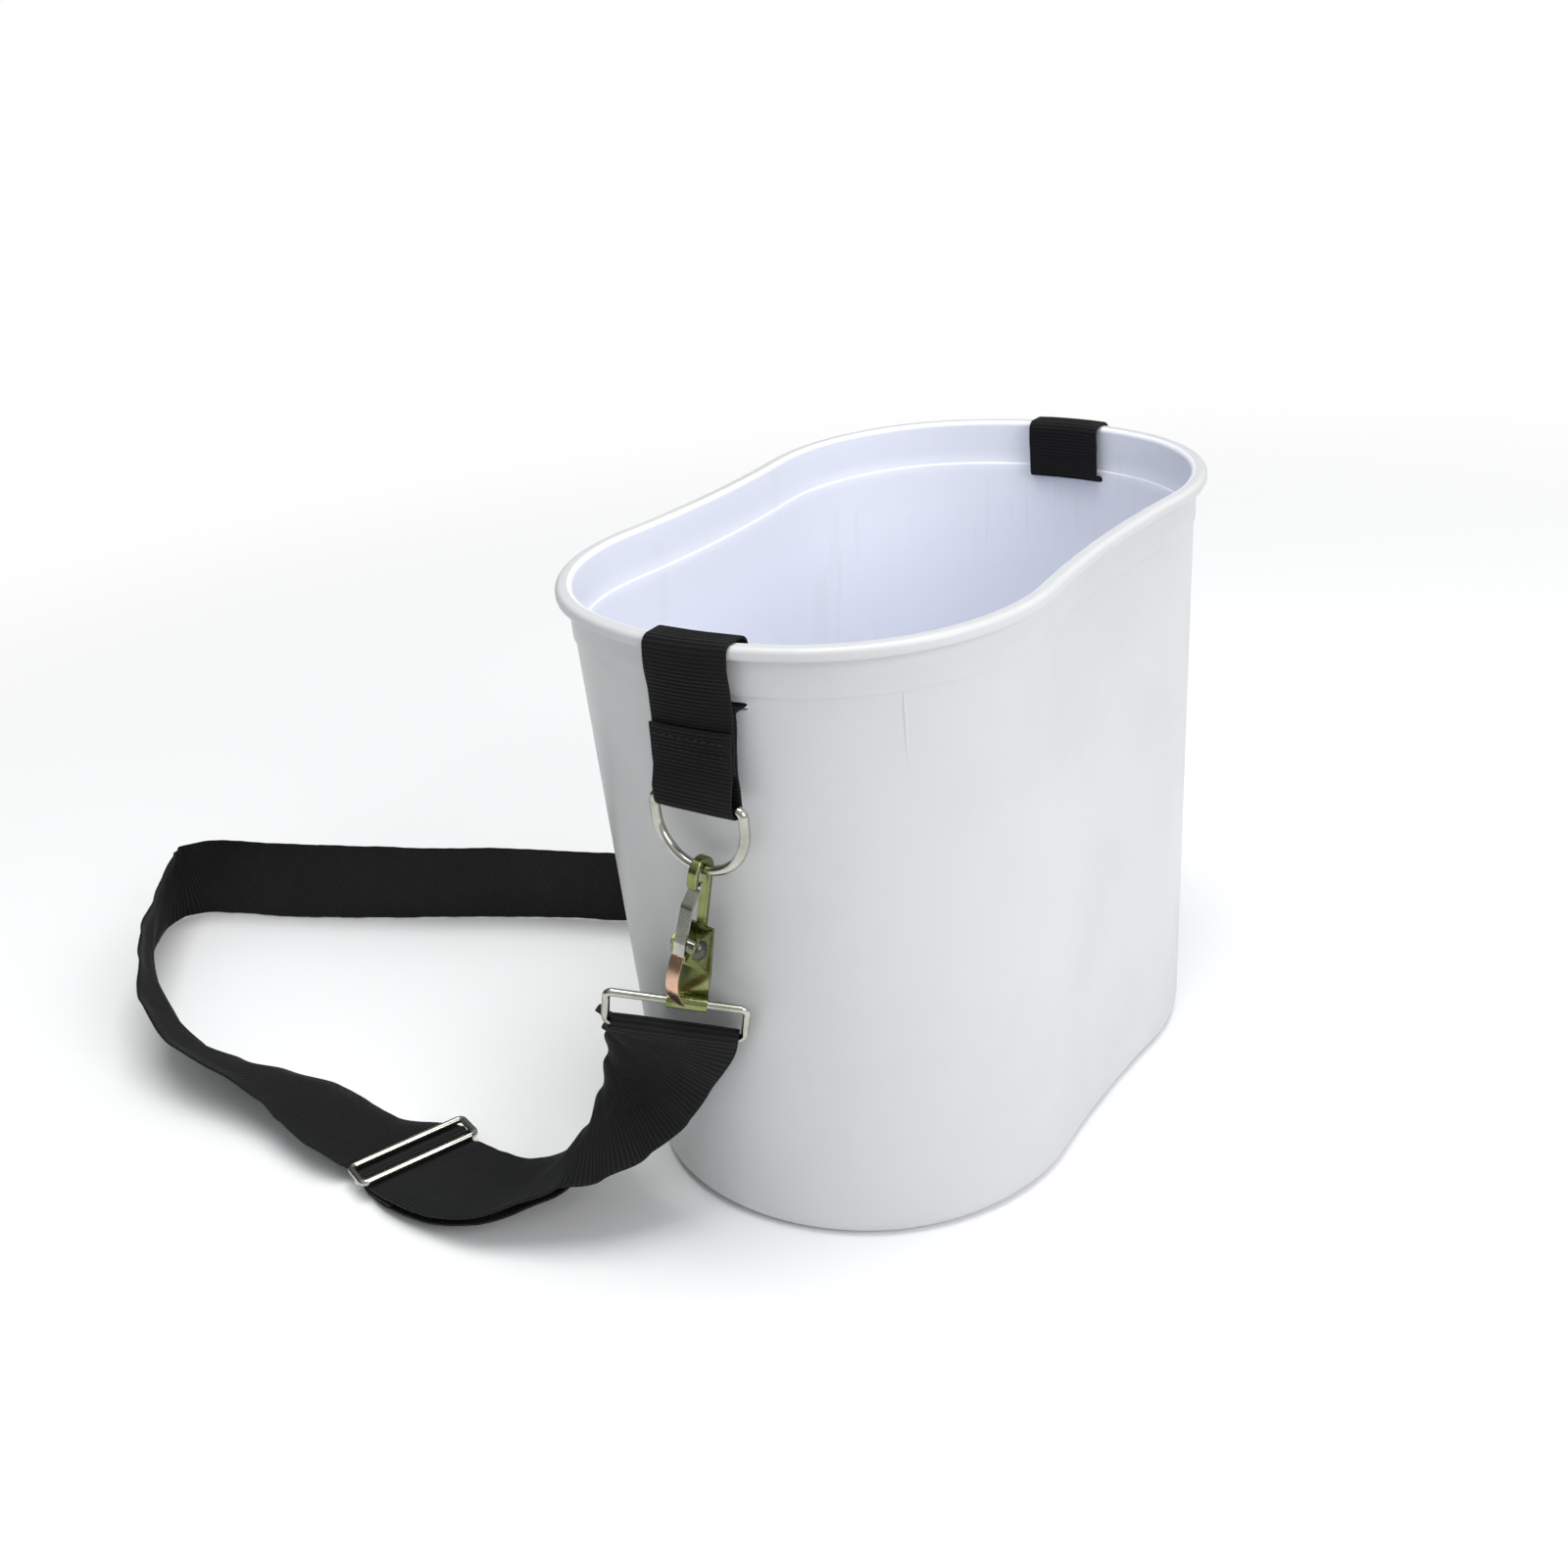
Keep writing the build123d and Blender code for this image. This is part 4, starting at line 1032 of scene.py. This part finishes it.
bucketPiece = makeBucket(bucketSetup)
cutSlots(bucketPiece)
bucketPiece = joinPieces([bucketPiece, makeRib()], "bucketShell")
bpy.ops.object.shade_smooth_by_angle(angle=math.radians(35))
bucketPiece.data.materials.clear()
bucketPiece.data.materials.append(plastic)
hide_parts("bucket_shell")
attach(bucketPiece, "bucket")
print("bucket", len(bucketPiece.data.polygons))


# CAD pieces that stay, with their finishes
finishes = {"slider_frame": (nickel, "slider wire"),
            "slider_bar": (nickel, "slider wire")}
for end in ("near", "far"):
    finishes[end + "_d_ring"] = (nickel, "nickel plate")
    finishes[end + "_hook_body"] = (hookNickel, "nickel plate")
    finishes[end + "_gate"] = (nickel, "nickel plate")
    finishes[end + "_gate_rivet"] = (darkSteel, "nickel plate")
    finishes[end + "_leaf_spring"] = (copper, "leaf bronze")
    finishes[end + "_base_ring"] = (nickel, "nickel plate")
for node, (material, slotName) in finishes.items():
    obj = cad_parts[node]
    obj.data.materials.clear()
    obj.data.materials.append(material)


# Floor, light and background
stageSetup = {"floorSize": 12.0, "floorColour": (0.92, 0.92, 0.92), "nearGlow": 0.45, "farGlow": 1.3,
              "worldLow": (0.12, 0.15, 0.115), "worldHigh": (0.95, 0.97, 1.0), "worldStrength": 0.62}


def makeFloor(setup):
    deselect()
    bpy.ops.mesh.primitive_plane_add(size=setup["floorSize"], location=(0, 0, 0))
    floor = bpy.context.object
    floor.name = "studioFloor"
    material, tree, shader, coordinates = startMaterial("paleFloor", 0.9)
    shader.inputs["Base Color"].default_value = (*setup["floorColour"], 1.0)
    shader.inputs["Specular IOR Level"].default_value = 0.1
    glow = tree.nodes.new("ShaderNodeEmission")
    distance = tree.nodes.new("ShaderNodeVectorMath")
    distance.operation = "LENGTH"
    tree.links.new(coordinates.outputs["Object"], distance.inputs[0])
    reach = rampNode(tree, distance.outputs["Value"], setup["nearGlow"], setup["farGlow"])
    ray = tree.nodes.new("ShaderNodeLightPath")
    mixer = tree.nodes.new("ShaderNodeMixShader")
    tree.links.new(mathNode(tree, "MULTIPLY", reach, ray.outputs["Is Camera Ray"]), mixer.inputs[0])
    tree.links.new(shader.outputs[0], mixer.inputs[1])
    tree.links.new(glow.outputs[0], mixer.inputs[2])
    output = next(node for node in tree.nodes if node.type == "OUTPUT_MATERIAL")
    tree.links.new(mixer.outputs[0], output.inputs["Surface"])
    floor.data.materials.append(material)


def makeWorld(setup):
    world = bpy.data.worlds.new("studioWorld")
    world.use_nodes = True
    bpy.context.scene.world = world
    tree = world.node_tree
    background = next(node for node in tree.nodes if node.type == "BACKGROUND")
    output = next(node for node in tree.nodes if node.type == "OUTPUT_WORLD")
    coordinates = tree.nodes.new("ShaderNodeTexCoord")
    split = tree.nodes.new("ShaderNodeSeparateXYZ")
    tree.links.new(coordinates.outputs["Generated"], split.inputs[0])
    slant = mathNode(tree, "MULTIPLY_ADD", split.outputs[0], 0.75, mathNode(tree, "MULTIPLY", split.outputs[2], 0.9))
    rise = rampNode(tree, slant, -0.35, 0.85)
    tree.links.new(mixColour(tree, rise, setup["worldLow"], setup["worldHigh"]), background.inputs["Color"])
    background.inputs["Strength"].default_value = setup["worldStrength"]
    seen = tree.nodes.new("ShaderNodeBackground")
    seen.inputs["Color"].default_value = (1, 1, 1, 1)
    ray = tree.nodes.new("ShaderNodeLightPath")
    mixer = tree.nodes.new("ShaderNodeMixShader")
    tree.links.new(ray.outputs["Is Camera Ray"], mixer.inputs[0])
    tree.links.new(background.outputs[0], mixer.inputs[1])
    tree.links.new(seen.outputs[0], mixer.inputs[2])
    tree.links.new(mixer.outputs[0], output.inputs["Surface"])


lamps = {
    "keyLamp": {"place": (1.8, -0.5, 1.2), "size": 1.0, "power": 16.0},
    "topLamp": {"place": (0.1, -0.1, 1.9), "size": 1.2, "power": 25.0},
}


def makeLamps(setup):
    target = Vector((0, 0, 0.12))
    for name, values in setup.items():
        bpy.ops.object.light_add(type="AREA", location=values["place"])
        lamp = bpy.context.object
        lamp.name = name
        lamp.data.size = values["size"]
        lamp.data.energy = values["power"]
        lamp.rotation_mode = "QUATERNION"
        lamp.rotation_quaternion = (target - Vector(values["place"])).to_track_quat("-Z", "Y")


makeFloor(stageSetup)
makeWorld(stageSetup)
makeLamps(lamps)
makeCamera(cameraSetup)
bpy.context.scene.view_settings.view_transform = "Standard"
print("stage set")
